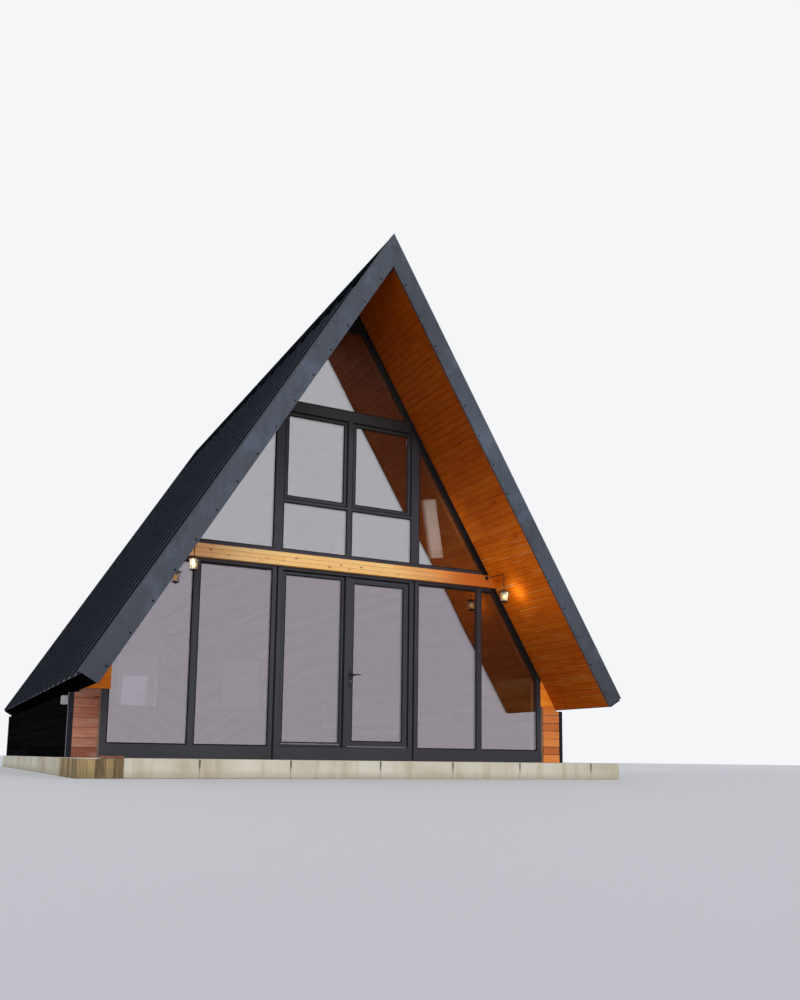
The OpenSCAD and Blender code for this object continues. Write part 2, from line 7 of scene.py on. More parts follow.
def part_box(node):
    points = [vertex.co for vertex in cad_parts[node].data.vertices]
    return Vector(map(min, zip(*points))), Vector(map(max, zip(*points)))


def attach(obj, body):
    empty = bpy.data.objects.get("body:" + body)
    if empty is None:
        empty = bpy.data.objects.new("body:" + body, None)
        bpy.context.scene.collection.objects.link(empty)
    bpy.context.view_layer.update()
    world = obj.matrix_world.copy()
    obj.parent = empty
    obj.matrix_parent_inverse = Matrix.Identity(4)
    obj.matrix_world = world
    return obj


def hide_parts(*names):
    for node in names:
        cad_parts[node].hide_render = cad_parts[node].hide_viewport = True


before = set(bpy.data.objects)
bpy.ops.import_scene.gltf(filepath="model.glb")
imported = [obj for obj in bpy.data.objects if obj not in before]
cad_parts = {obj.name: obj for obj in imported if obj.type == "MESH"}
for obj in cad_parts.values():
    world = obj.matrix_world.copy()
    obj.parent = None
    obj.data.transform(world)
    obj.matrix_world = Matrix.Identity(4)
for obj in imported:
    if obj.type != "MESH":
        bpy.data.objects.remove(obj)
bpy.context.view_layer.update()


# Base slab
# The slab is concrete, cast against boards that left upright joints and rain stains on its edge.
# The whole house stands on it, and it stays a little back under both ends of the roof.

class Value:
    """A socket of a shader tree. Sums of values add Math nodes, and add makes any other node."""

    def __init__(self, tree, socket):
        self.tree, self.socket = tree, socket

    def add(self, kind, settings=None, sockets=None, out=0):
        node = self.tree.nodes.new("ShaderNode" + kind)
        for name, value in (settings or {}).items():
            if name == "stops":
                ramp = node.color_ramp.elements
                while len(ramp) < len(value):
                    ramp.new(0.5)
                for stop, (spot, colour) in zip(ramp, value):
                    stop.position, stop.color = spot, colour
            else:
                setattr(node, name, value)
        for name, value in (sockets or {}).items():
            if isinstance(value, Value):
                self.tree.links.new(value.socket, node.inputs[name])
            else:
                node.inputs[name].default_value = value
        return Value(self.tree, node.outputs[out])

    def sum(self, operation, *values):
        return self.add("Math", {"operation": operation}, dict(enumerate(values)))

    def __add__(self, other):
        return self.sum("ADD", self, other)

    def __sub__(self, other):
        return self.sum("SUBTRACT", self, other)

    def __rsub__(self, other):
        return self.sum("SUBTRACT", other, self)

    def __mul__(self, other):
        return self.sum("MULTIPLY", self, other)

    def __truediv__(self, other):
        return self.sum("DIVIDE", self, other)

    def __mod__(self, other):
        return self.sum("FLOORED_MODULO", self, other)

    __radd__, __rmul__ = __add__, __mul__

    def __abs__(self):
        return self.sum("ABSOLUTE", self)

    def floor(self):
        return self.sum("FLOOR", self)

    def sine(self):
        return self.sum("SINE", self)

    def rise(self, low, high):
        """0 up to low, 1 from high on, and a smooth step between them."""
        return self.add("MapRange", {"interpolation_type": "SMOOTHSTEP"},
                        {"Value": self, "From Min": low, "From Max": high})

    def axes(self):
        """The three numbers of a place."""
        node = self.add("SeparateXYZ", sockets={0: self}).socket.node
        return [Value(self.tree, socket) for socket in node.outputs]

    def at(self, x, y, z):
        """A place made of three numbers."""
        return self.add("CombineXYZ", sockets={0: x, 1: y, 2: z})

    def noise(self, scale, detail=3.0, roughness=0.5):
        """Cloudy noise from 0 to 1 over a place."""
        return self.add("TexNoise", sockets={
            "Vector": self, "Scale": scale, "Detail": detail, "Roughness": roughness})

    def dice(self):
        """A random number from 0 to 1 for each whole number."""
        return self.add("TexWhiteNoise", {"noise_dimensions": "1D"}, {"W": self})

    def colours(self, first, second):
        """The first colour where this value is 0, and the second where it is 1."""
        return self.add("Mix", {"data_type": "RGBA"}, {0: self, 6: first, 7: second}, out=2)

    def times(self, other):
        """This colour, darkened by another."""
        return self.add("Mix", {"data_type": "RGBA", "blend_type": "MULTIPLY"},
                        {0: 1.0, 6: self, 7: other}, out=2)

    def ramp(self, *stops):
        return self.add("ValToRGB", {"stops": stops}, {0: self})

    def bump(self, depth):
        """A normal with this value as its relief, depth metres high."""
        return self.add("Bump", sockets={"Height": self, "Distance": depth, "Strength": 1.0})


def tone(red, green, blue):
    """A colour given as a screen shows it, from 0 to 255."""
    return tuple(((c / 255 + 0.055) / 1.055) ** 2.4 if c > 10 else c / 3294.6
                 for c in (red, green, blue)) + (1.0,)


def finish(name, surface, **sockets):
    """A material: surface gives the sockets that vary from place to place, the rest stay fixed."""
    material = bpy.data.materials.new(name)
    material.use_nodes = True
    tree = material.node_tree
    shader = tree.nodes["Principled BSDF"]
    place = Value(tree, tree.nodes.new("ShaderNodeTexCoord").outputs["Object"])
    for socket, value in {**sockets, **surface(place)}.items():
        socket = shader.inputs[socket.replace("_", " ")]
        if isinstance(value, Value):
            tree.links.new(value.socket, socket)
        else:
            socket.default_value = value
    return material


def dress(material, *nodes, edge=0.0):
    """Gives solids of the frame their material, and eases their edges."""
    for name in nodes:
        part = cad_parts[name]
        part.data.materials.clear()
        part.data.materials.append(material)
        if edge:
            part.modifiers.new("join", "WELD").merge_threshold = 1e-5
            easing = part.modifiers.new("ease", "BEVEL")
            easing.width, easing.segments = edge, 2
            easing.limit_method, easing.angle_limit = "ANGLE", math.radians(35)


SLAB_LOW, SLAB_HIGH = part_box("base_slab")
SLAB_TOP = SLAB_HIGH.z
FORM_BOARD = 1.17


def concrete_surface(place):
    x, y, z = place.axes()
    along = x + y
    cloud = place.noise(1.3, 6)
    grit = place.noise(90, 3)
    streak = place.at(along * 6, along * 2, z * 0.9).noise(1.0, 4)
    shift = ((along / FORM_BOARD).floor().dice() - 0.5) * 0.5
    from_joint = abs(along % FORM_BOARD - FORM_BOARD / 2 - shift)
    upright = 1 - z.rise(SLAB_TOP - 0.009, SLAB_TOP - 0.001)
    joint = (1 - from_joint.rise(0.0, 0.007)) * upright
    drip = (1 - from_joint.rise(0.006, 0.02)) * z.rise(0.06, 0.17) * upright
    pores = 1 - place.noise(42, 2).rise(0.27, 0.33)
    foot = 1 - z.rise(0.0, 0.12)
    colour = cloud.ramp((0.28, tone(184, 174, 148)), (0.5, tone(208, 202, 184)),
                        (0.75, tone(222, 218, 204)))
    colour = (streak.rise(0.5, 0.72) * upright * 0.5).colours(colour, tone(172, 156, 120))
    colour = (foot * cloud * 0.8).colours(colour, tone(134, 128, 98))
    colour = (joint * 0.5).colours(colour, tone(122, 112, 90))
    colour = (drip * 0.8).colours(colour, tone(66, 56, 38))
    relief = cloud * 0.5 + grit * 0.35 - pores * 0.6 - joint * 1.2
    return {"Base Color": colour, "Roughness": 0.78 + grit * 0.16, "Normal": relief.bump(0.004)}


dress(finish("cast_concrete", concrete_surface), "base_slab", edge=0.008)


# Floors
# Both floors are oiled boards 140 mm wide that run from the glazing to the back wall.
# The upper floor stands on the tie beam, and its underside is the ceiling of the ground room.

RIDGE_Z, SLOPE = 6.85, math.radians(58.7)
RUN, RISE = math.cos(SLOPE), math.sin(SLOPE)
STEEP = RISE / RUN
BOARD_JOINT = 0.0063


def shaded(colour, share):
    """A colour made darker to that share."""
    return tuple(c * share for c in colour[:3]) + (1.0,)


def timber(place, across, along, depth, width, length=3.1):
    """Boards side by side: chance of each board, seams, rings, fibre and knots, from 0 to 1."""
    number = (across / width).floor()
    luck = number.dice()
    joint_spot = (along + luck * length * 7) / length
    piece_number = number * 17.3 + joint_spot.floor()
    chance = piece_number.dice()
    edge = abs((across % width) / width - 0.5) * 2
    seam = edge.rise(1 - BOARD_JOINT / width, 1.0)
    across_seed = across + chance * 13.7
    field = place.at(across_seed * 5.5, along * 0.55 + chance * 31, depth * 5.5).noise(1.0, 2, 0.45)
    rings = (field * 95).sine() * 0.5 + 0.5
    fibre = place.at(across_seed * 170, along * 5, depth * 170).noise(1.0, 3, 0.6)
    knot_place = place.at(across_seed * 6.5, along * 1.45 + chance * 9, depth * 3)
    knot = knot_place.add("TexVoronoi", sockets={"Vector": knot_place, "Scale": 1.0})
    return {"chance": chance, "seam": seam, "rings": rings, "fibre": fibre, "knot": knot}


def wood(name, width, down_slope, light, middle, dark, roughness, groove, **sockets):
    """Boards of that width that run front to back: level, or side by side down a slope."""
    def surface(place):
        x, y, z = place.axes()
        if down_slope:
            across = abs(x) * RUN + (RIDGE_Z - z) * RISE
            depth = abs(x) * RISE + z * RUN
        else:
            across, depth = x + 20.0, z
        grain = timber(place, across, y, depth, width)
        spread = (grain["chance"] - 0.5) * 0.5
        base = grain["rings"] * 0.42 + grain["fibre"] * 0.5 + spread + 0.12
        colour = base.ramp((0.0, light), (0.5, middle), (1.0, dark))
        core = 1 - grain["knot"].rise(0.05, 0.10)
        halo = 1 - grain["knot"].rise(0.09, 0.24)
        colour = (halo * 0.28).colours(colour, dark)
        colour = (core * 0.8).colours(colour, shaded(dark, 0.35))
        colour = (grain["seam"] * groove).colours(colour, shaded(dark, 0.2))
        relief = grain["fibre"] * 0.35 - grain["rings"] * 0.1 - grain["seam"] * groove * 2 - core * 0.3
        return {"Base Color": colour, "Roughness": roughness + grain["fibre"] * 0.14 + spread * 0.1,
                "Normal": relief.bump(0.0012)}
    return finish(name, surface, **sockets)


oiled_floor = wood("oiled_floor_boards", 0.14, False, tone(128, 94, 54), tone(104, 74, 40),
                   tone(72, 48, 24), roughness=0.4, groove=0.9)
dress(oiled_floor, "ground_floor", "loft_floor", edge=0.002)


# Side walls
# The low walls are timber cores between the slab and the roof. Battens and dark stained boards, laid
# level with open joints, cover them outside, and dark folded trims close the corners. The boards'
# near-black colour is partly painted shade.

def skin(shape, loops, closed=False):
    """Joins loops of corners one to the next. Both ends get a cap unless the loops close."""
    made, count = [], len(loops[0])
    for a, b in zip(loops, loops[1:] + (loops[:1] if closed else [])):
        for i in range(count):
            j = (i + 1) % count
            made.append(shape.faces.new((a[i], a[j], b[j], b[i])))
    if not closed:
        made += [shape.faces.new(loops[0][::-1]), shape.faces.new(loops[-1])]
    return made


def prism(shape, outline, y0, y1):
    """Adds an outline in x and z to a mesh, drawn out from y0 to y1."""
    return skin(shape, [[shape.verts.new((x, y, z)) for x, z in outline] for y in (y0, y1)])


def bar(shape, x0, x1, y0, y1, z0, z1):
    """Adds a square-edged bar between two corners."""
    return prism(shape, [(x0, z0), (x1, z0), (x1, z1), (x0, z1)], y0, y1)


def piece(name, shape, material, body="house", ease=0.0, steps=1, smooth=None):
    """Turns a mesh in the making into a piece of the house."""
    bmesh.ops.recalc_face_normals(shape, faces=shape.faces)
    if ease:
        bmesh.ops.bevel(shape, geom=list(shape.edges), offset=ease, segments=steps,
                        affect="EDGES", clamp_overlap=True)
    mesh = bpy.data.meshes.new(name)
    shape.to_mesh(mesh)
    shape.free()
    if smooth:
        mesh.shade_smooth()
        mesh.set_sharp_from_angle(angle=math.radians(smooth))
    made = bpy.data.objects.new(name, mesh)
    bpy.context.scene.collection.objects.link(made)
    for one in material if isinstance(material, list) else [material]:
        mesh.materials.append(one)
    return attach(made, body)


def level_planks(name, pitch, light, middle, dark, weather=0.0, roughness=0.6, start=0.0, **sockets):
    """Planks one over the other, whose grain runs level."""
    def surface(place):
        x, y, z = place.axes()
        along, depth = x + y * 0.93, x * 0.5 - y * 0.5
        grain = timber(place, z - start, along, depth, pitch, 40)
        streak = place.at(along * 1.3, depth * 3, z * 46).noise(1.0, 4, 0.6)
        spread = (grain["chance"] - 0.5) * 0.55
        base = grain["rings"] * 0.08 + grain["fibre"] * 0.4 + streak * 0.62 + spread - 0.06
        colour = base.ramp((0.0, light), (0.5, middle), (1.0, dark))
        core = 1 - grain["knot"].rise(0.05, 0.11)
        colour = (core * 0.75).colours(colour, shaded(dark, 0.4))
        if weather:
            worn = place.at(along * 1.6, depth, z * 9).noise(1.0, 5)
            colour = (worn.rise(0.5, 0.68) * weather).colours(colour, tone(176, 150, 132))
        relief = grain["fibre"] * 0.45 - grain["rings"] * 0.15 - core * 0.3
        return {"Base Color": colour, "Roughness": roughness + grain["fibre"] * 0.2,
                "Normal": relief.bump(0.0016)}
    return finish(name, surface, **sockets)


core_wood = level_planks("wall_core_boards", 0.2, tone(150, 132, 108), tone(128, 110, 88),
                         tone(98, 82, 62))
dress(core_wood, "left_knee_wall", "right_knee_wall")
# The side boards are dark stained, and their colour is darker still as painted shade under the eaves.
shade_darkened_boards = level_planks("dark_boards_painted_shade", 0.13, tone(20, 20, 22), tone(14, 14, 15), tone(8, 8, 9),
                          start=SLAB_TOP, roughness=0.65, Specular_IOR_Level=0.0)
dress(shade_darkened_boards, "side_cladding")

cladding_low, cladding_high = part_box("side_cladding")
glaze_y, back_out_y, eave_z = cladding_low.y, cladding_high.y, cladding_high.z
front_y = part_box("left_barges")[0].y
board_pitch, board_h, board_t, trim_w = 0.131, 0.123, 0.015, 0.053
shape = bmesh.new()
for side in (-1, 1):
    for i in range(6):
        low = SLAB_TOP + 0.004 + i * board_pitch
        bar(shape, side * (cladding_high.x + 0.0005), side * (cladding_high.x + board_t),
            glaze_y + trim_w, back_out_y - trim_w, low, min(low + board_h, eave_z))
piece("side_boards", shape, shade_darkened_boards, ease=0.003, steps=2)


def painted_surface(colour, worn=0.25, scale=1.0, roughness=0.4, grain=0.012):
    """Painted sheet metal: a little cloudiness, fine orange peel, and a slow wave of the sheet."""
    light, dark = shaded(colour, 1 + worn), shaded(colour, 1 - worn)

    def surface(place):
        x, y, z = place.axes()
        cloud = place.noise(0.9 * scale, 5)
        wave = place.noise(1.7 * scale, 1)
        peel = place.noise(260, 2)
        runs = place.at(x * 14, y * 14, z * 1.2).noise(1.0, 3)
        shade = (cloud * 0.65 + runs * 0.35).ramp((0.3, dark), (0.52, colour), (0.72, light))
        return {"Base Color": shade, "Normal": (wave + peel * grain).bump(0.006),
                "Roughness": roughness + (cloud - 0.5) * 0.22 + (peel - 0.5) * 0.05}
    return surface


corner_metal = finish("corner_trim_paint", painted_surface(tone(34, 36, 44), worn=0.2),
                      Specular_IOR_Level=0.06)
dress(corner_metal, "corner_trims", edge=0.0015)


# Wall ends
# Planks close the front ends of the side walls: weathered and reddish on the left, orange on the right.
# A triangle of thick orange wood covers each wall plate above them, up to the soffit.

def clip(outline, height, keep_above):
    """The part of an outline above or below a height."""
    kept, count = [], len(outline)
    for i in range(count):
        (ax, az), (bx, bz) = outline[i], outline[(i + 1) % count]
        a_in, b_in = (az >= height) == keep_above, (bz >= height) == keep_above
        if a_in:
            kept.append((ax, az))
        if a_in != b_in:
            share = (height - az) / (bz - az)
            kept.append((ax + (bx - ax) * share, height))
    return kept


def slope_x(z, n=0.0):
    """Distance from the middle of a plane n outside the soffit, at height z."""
    return (RIDGE_Z + n / RUN - z) / STEEP


plank_low, plank_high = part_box("pillar_planks")
pillar_in, pillar_out, plank_top = 3.30, plank_high.x, plank_high.z
plank_count, plank_gap = 7, 0.0018
plank_h = (plank_top - SLAB_TOP) / plank_count
red_planks = level_planks("weathered_red_planks", plank_h, tone(202, 140, 116), tone(152, 92, 70),
                          tone(92, 50, 36), weather=0.4, start=SLAB_TOP, Specular_IOR_Level=0.2)
orange_planks = level_planks("orange_planks", plank_h, tone(236, 150, 66), tone(214, 112, 34),
                             tone(156, 74, 18), start=SLAB_TOP, roughness=0.42)
pillar = [(pillar_in, SLAB_TOP), (pillar_out, SLAB_TOP), (pillar_out, eave_z),
          (slope_x(eave_z) - 0.0005, eave_z), (slope_x(plank_top) - 0.0005, plank_top),
          (pillar_in, plank_top)]
shape = bmesh.new()
for side, number in ((-1, 0), (1, 1)):
    outline = [(side * x, z) for x, z in pillar]
    for i in range(plank_count):
        low = SLAB_TOP + i * plank_h
        plank = clip(clip(outline, low + plank_gap, True), low + plank_h - plank_gap, False)
        for face in prism(shape, plank, plank_low.y + 0.0015 * ((i * 5) % 3), glaze_y):
            face.material_index = number
planks = piece("end_planks", shape, [red_planks, orange_planks], ease=0.003, steps=2)
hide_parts("pillar_planks")
orange_block = level_planks("orange_plate_wood", 0.06, tone(255, 176, 66), tone(255, 146, 36),
                            tone(224, 104, 16), start=0.02, roughness=0.5, Specular_IOR_Level=0.2)
dress(orange_block, "plate_ends", edge=0.004)


# Slab edge boards
# Sawn boards stand on end against the left end of the slab, grey-green at the foot from the rain. A
# reddish board covers their top at the front.

SAWN_BOARD = 0.098


def upright_surface(place):
    x, y, z = place.axes()
    across = x - y
    grain = timber(place, across, z, x * 0.5 + y * 0.5, SAWN_BOARD, 40)
    damp = place.at(across * 4, across, z * 5).noise(1.0, 4)
    shade = grain["fibre"] * 0.45 + grain["rings"] * 0.15 + (grain["chance"] - 0.5) * 0.8 + 0.2
    colour = shade.ramp((0.0, tone(176, 150, 104)), (0.5, tone(132, 108, 72)), (1.0, tone(82, 64, 42)))
    colour = ((1 - z.rise(0.0, 0.16)) * damp * 0.9).colours(colour, tone(96, 90, 58))
    relief = grain["fibre"] * 0.5 + damp * 0.2
    return {"Base Color": colour, "Roughness": 0.72 + grain["fibre"] * 0.2, "Normal": relief.bump(0.002)}


sawn_gap, sawn_top = 0.002, SLAB_TOP - 0.006
shape = bmesh.new()
for i in range(5):
    left = SLAB_LOW.x + i * SAWN_BOARD
    bar(shape, left + sawn_gap, left + SAWN_BOARD - sawn_gap,
        front_y + 0.0015 * (i % 3), front_y + 0.02, 0.0, sawn_top - 0.003 * (i % 2))
for i in range(13):
    near = front_y + 0.0215 + i * SAWN_BOARD
    bar(shape, SLAB_LOW.x - 0.02 + 0.0015 * (i % 2), SLAB_LOW.x,
        near + sawn_gap, near + SAWN_BOARD - sawn_gap, 0.0, sawn_top - 0.004 * (i % 3))
sawn_wood = finish("sawn_slab_boards", upright_surface)
piece("slab_boards", shape, sawn_wood, ease=0.003, steps=2)
cap_left, cap_right, cap_w, cap_t = -3.46, -3.215, 0.125, 0.025
shape = bmesh.new()
bar(shape, cap_left, cap_right, front_y + 0.001, front_y + cap_w, SLAB_TOP + 0.0005, SLAB_TOP + cap_t)
piece("cap_board", shape, red_planks, ease=0.003, steps=2)


# Roof panels and soffit
# Insulated panels span from the wall plates to the ridge. Varnished boards about 100 mm wide with
# V joints run front to back under them and show as the soffit of both overhangs.

def on_slope(side, u, n):
    """Point u down the slope from the ridge and n outside the soffit, in x and z."""
    return side * (u * RUN + n * RISE), RIDGE_Z - u * RISE + n * RUN


SLOPE_LEN, SOFFIT_COUNT = 6.812, 68
SOFFIT_BOARD = SLOPE_LEN / SOFFIT_COUNT


def soffit_surface(place):
    x, y, z = place.axes()
    down = abs(x) * RUN + (RIDGE_Z - z) * RISE
    grain = timber(place, down, y, abs(x) * RISE + z * RUN, SOFFIT_BOARD)
    cloud = place.at(down * 1.3, y * 0.6, x * 0.3).noise(1.0, 4)
    lines = place.at(down * 58, y * 0.9, 0.0).noise(1.0, 4, 0.65)
    blotch = place.at(down * 5.5, y * 3.5, 0.0).noise(1.0, 3)
    shade = (grain["rings"] * 0.1 + grain["fibre"] * 0.22 + lines * 0.62 + cloud * 0.34
             + blotch * 0.5 + (grain["chance"] - 0.5) * 0.16 - 0.43)
    colour = shade.ramp((0.0, tone(255, 152, 44)), (0.45, tone(244, 118, 14)), (0.95, tone(190, 74, 4)))
    core = 1 - grain["knot"].rise(0.03, 0.055)
    colour = ((1 - grain["knot"].rise(0.05, 0.16)) * 0.35).colours(colour, tone(168, 62, 6))
    colour = (core * 0.9).colours(colour, tone(58, 22, 4))
    edge = abs((down % SOFFIT_BOARD) / SOFFIT_BOARD - 0.5) * 2
    # Lighter streaks beside the joints, only in the lower part near the lanterns, are painted highlights on
    # the varnish.
    worn = place.at(down * 12, y * 1.3, 0.0).noise(1.0, 4)
    beside_joint = edge.rise(0.5, 0.75) * (1 - edge.rise(0.86, 0.93))
    streak = beside_joint * worn.rise(0.5, 0.62) * down.rise(3.2, 4.4)
    colour = (streak * 0.7).colours(colour, tone(255, 172, 84))
    colour = (grain["seam"] * (0.12 + down.rise(3.2, 4.8) * 0.5)).colours(colour, tone(96, 34, 2))
    # The level ramp darkens the boards towards the ridge and the eave and makes them paler around the
    # lanterns: painted shade and a painted glow of lantern light.
    level = (down / SLOPE_LEN).ramp((0.0, (0.36, 0.34, 0.3, 1.0)), (0.36, (0.42, 0.4, 0.36, 1.0)),
                                    (0.5, (0.62, 0.6, 0.55, 1.0)), (0.63, (1.02, 1.12, 1.6, 1.0)),
                                    (0.72, (0.9, 0.9, 0.84, 1.0)), (0.84, (0.52, 0.5, 0.44, 1.0)))
    relief = grain["fibre"] * 0.35 - grain["rings"] * 0.1 - core * 0.3
    return {"Base Color": colour.times(level), "Roughness": 0.46 + grain["fibre"] * 0.16,
            "Normal": relief.bump(0.0012)}


soffit_wood = finish("varnished_soffit_boards", soffit_surface, Specular_IOR_Level=0.07)
board_gap, v_depth, soffit_t, first_u = 0.0006, 0.0055, 0.0198, 0.034
for side, name in ((-1, "left_soffit"), (1, "right_soffit")):
    shape = bmesh.new()
    for i in range(SOFFIT_COUNT):
        u0, u1 = max(i * SOFFIT_BOARD + board_gap, first_u), (i + 1) * SOFFIT_BOARD - board_gap
        profile = [(u0 + 0.006, 0.0), (u1 - 0.0059, 0.0), (u1, v_depth), (u1, soffit_t),
                   (u0, soffit_t), (u0, v_depth)]
        prism(shape, [on_slope(side, u, n) for u, n in profile], front_y + 0.0255, -front_y - 0.0255)
    boards = piece(name + "_boards", shape, soffit_wood)
    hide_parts(name)

dress(core_wood, "left_roof_panel", "right_roof_panel")


# Roof sheets and ridge
# Coated steel sheets with standing seams every half metre run from ridge to eave. A folded cap
# covers the ridge, held by round-headed screws into the seams.

def sheet_paint(name, colour, gloss):
    """The matt coating of the roof's steel."""
    surface = painted_surface(colour, worn=0.16, scale=0.8, roughness=0.56, grain=0.0)
    return finish(name, surface, Specular_IOR_Level=gloss)


roof_metal = sheet_paint("roof_sheet_paint", tone(21, 28, 38), 0.12)
dress(roof_metal, "left_roof_sheets", "right_roof_sheets")
# The ridge cap takes a darker copy of the roof paint: painted shade along the ridge.
dress(sheet_paint("ridge_cap_paint", tone(15, 20, 27), 0.0), "ridge_cap")


def knob(shape, spot, toward, profile, sides=12):
    """Turns a profile of (distance along, radius) round an axis that starts at spot."""
    turn = Vector((0, 0, 1)).rotation_difference(Vector(toward)).to_matrix()
    angles = [2 * math.pi * i / sides for i in range(sides)]
    loops = []
    for height, radius in profile:
        corners = [Vector((radius * math.cos(a), radius * math.sin(a), height)) for a in angles]
        loops.append([shape.verts.new(Vector(spot) + turn @ corner) for corner in corners])
    skin(shape, loops)


SCREW = [(0.0, 0.011), (0.0012, 0.011), (0.0018, 0.0065), (0.0045, 0.006), (0.0058, 0.0035)]
seam_top, seam_step = 0.2375, 0.5
shape = bmesh.new()
for side in (-1, 1):
    x, z = on_slope(side, 0.135, seam_top)
    for i in range(21):
        knob(shape, (x, front_y + 0.257 + i * seam_step, z), (side * RISE, 0, RUN), SCREW)
piece("ridge_screws", shape, roof_metal, smooth=40)


# Barge boards
# Folded anthracite sheets cover both ends of the roof. The upper length laps over the lower one, a
# lip turns in over the roof sheets, and small screws hold the sheets near their inner edge.

def barge_surface(place):
    x, y, z = place.axes()
    cloud = place.noise(0.7, 6)
    smudge = place.noise(2.4, 5, 0.62).rise(0.5, 0.68)
    rubbed = place.noise(6.5, 4, 0.6).rise(0.56, 0.66)
    runs = place.at(x * 14, y * 14, z * 1.2).noise(1.0, 3)
    shade = (cloud * 0.75 + runs * 0.25).ramp((0.3, tone(52, 57, 67)), (0.5, tone(66, 72, 82)),
                                              (0.72, tone(82, 89, 102)))
    colour = (smudge * 0.5).colours(shade, tone(92, 100, 116))
    colour = (rubbed * 0.4).colours(colour, tone(48, 52, 60))
    colour = ((1 - z.rise(1.2, 2.2)) * 0.6).colours(colour, tone(48, 50, 57))
    return {"Base Color": colour, "Roughness": 0.44 + smudge * 0.14 - rubbed * 0.06,
            "Normal": (place.noise(1.5, 1) + place.noise(240, 2) * 0.012).bump(0.006)}


barge_metal = finish("barge_paint", barge_surface, Metallic=0.1, Specular_IOR_Level=0.35)
dress(barge_metal, "left_barges", "right_barges", edge=0.002)


def slope_strip(side, u0, u1, n0, n1):
    """Outline of a strip along the slope. One that starts at the ridge is cut upright there."""
    strip = [on_slope(side, u, n) for u, n in ((u0, n0), (u1, n0), (u1, n1), (u0, n1))]
    if u0 == 0:
        strip[0], strip[3] = (0.0, RIDGE_Z + n0 / RUN), (0.0, RIDGE_Z + n1 / RUN)
    return strip


barge_screw = [(distance, radius * 1.1) for distance, radius in SCREW]
barge_edge, lap_end, lap_face, lip_w = -0.0055, 4.93, 0.0016, 0.11
shape, lips, screws = bmesh.new(), bmesh.new(), bmesh.new()
for side in (-1, 1):
    for face_y, out in ((front_y, -1), (-front_y, 1)):
        prism(shape, slope_strip(side, 0, lap_end, barge_edge, seam_top),
              face_y - out * 0.0005, face_y + out * lap_face)
        prism(lips, slope_strip(side, 0, SLOPE_LEN, seam_top + 0.001, seam_top + 0.003),
              face_y + out * lap_face, face_y - out * lip_w)
        for i in range(15):
            x, z = on_slope(side, 0.3 + i * 0.45, 0.03)
            knob(screws, (x, face_y + out * lap_face, z), (0, out, 0), barge_screw)
piece("barge_laps", shape, barge_metal, ease=0.0006)
piece("verge_lips", lips, roof_metal)
black_metal = finish("black_trim_paint", painted_surface(tone(11, 11, 12), worn=0.2),
                     Specular_IOR_Level=0.06)
piece("barge_screws", screws, black_metal, smooth=40)

# The fascias are near black: painted shade under the eaves.
eave_paint = finish("eave_paint", painted_surface(tone(4, 3, 3), worn=0.2, roughness=0.8),
                    Specular_IOR_Level=0.0)
dress(eave_paint, "eave_fascias", edge=0.0015)


# Inside linings
# Spruce boards line the slopes, the low walls and the back wall of the rooms. A narrow light batten
# covers the joint of slope and wall, and the corners beside the glazing.

# The slope lining is a darker, more olive copy of the wall lining: painted shade on the slopes.
lining_wood = wood("lining_boards", 0.1, True, tone(98, 84, 30), tone(78, 64, 22), tone(56, 44, 12),
                   roughness=0.6, groove=0.85, Specular_IOR_Level=0.15)
wall_wood = wood("wall_lining_boards", 0.1, True, tone(132, 112, 52), tone(108, 88, 38),
                 tone(74, 58, 24), roughness=0.6, groove=0.85, Specular_IOR_Level=0.15)
dress(lining_wood, "left_roof_lining", "right_roof_lining")
dress(wall_wood, "wall_linings", "back_wall")

near_y, far_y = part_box("wall_linings")[0].y + 0.001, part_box("wall_linings")[1].y - 0.001
floor_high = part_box("ground_floor")[1]
wall_face, batten_low = floor_high.x - 0.001, floor_high.z + 0.001
batten_w, batten_top, cover_w, lining_n = 0.034, 1.42, 0.049, -0.069
shape = bmesh.new()
for side in (-1, 1):
    bar(shape, side * (wall_face - batten_w), side * wall_face, near_y, near_y + batten_w,
        batten_low, batten_top)
    top, low = [RIDGE_Z - x * STEEP + lining_n / RUN for x in (wall_face - cover_w, wall_face)]
    cover = [(side * x, z) for x, z in (
        (wall_face - cover_w, top), (wall_face, low), (wall_face, low - 0.05))]
    prism(shape, cover, near_y, far_y)
    prism(shape, slope_strip(side, 0.2, 6.0, -0.0685, -0.086), near_y, near_y + 0.032)
batten_wood = level_planks("light_batten", 0.5, tone(150, 126, 80), tone(132, 108, 64), tone(104, 80, 42))
piece("lining_battens", shape, batten_wood, ease=0.002)


# Tie beam
# A glued timber beam crosses the whole gable in front of the upper floor and meets both soffits.
# Its three layers are about 62 mm thick, planed and oiled, with knots and pale and dark streaks.

BEAM_LOW, BEAM_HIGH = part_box("tie_beam")
LAYER_H = (BEAM_HIGH.z - BEAM_LOW.z) / 3


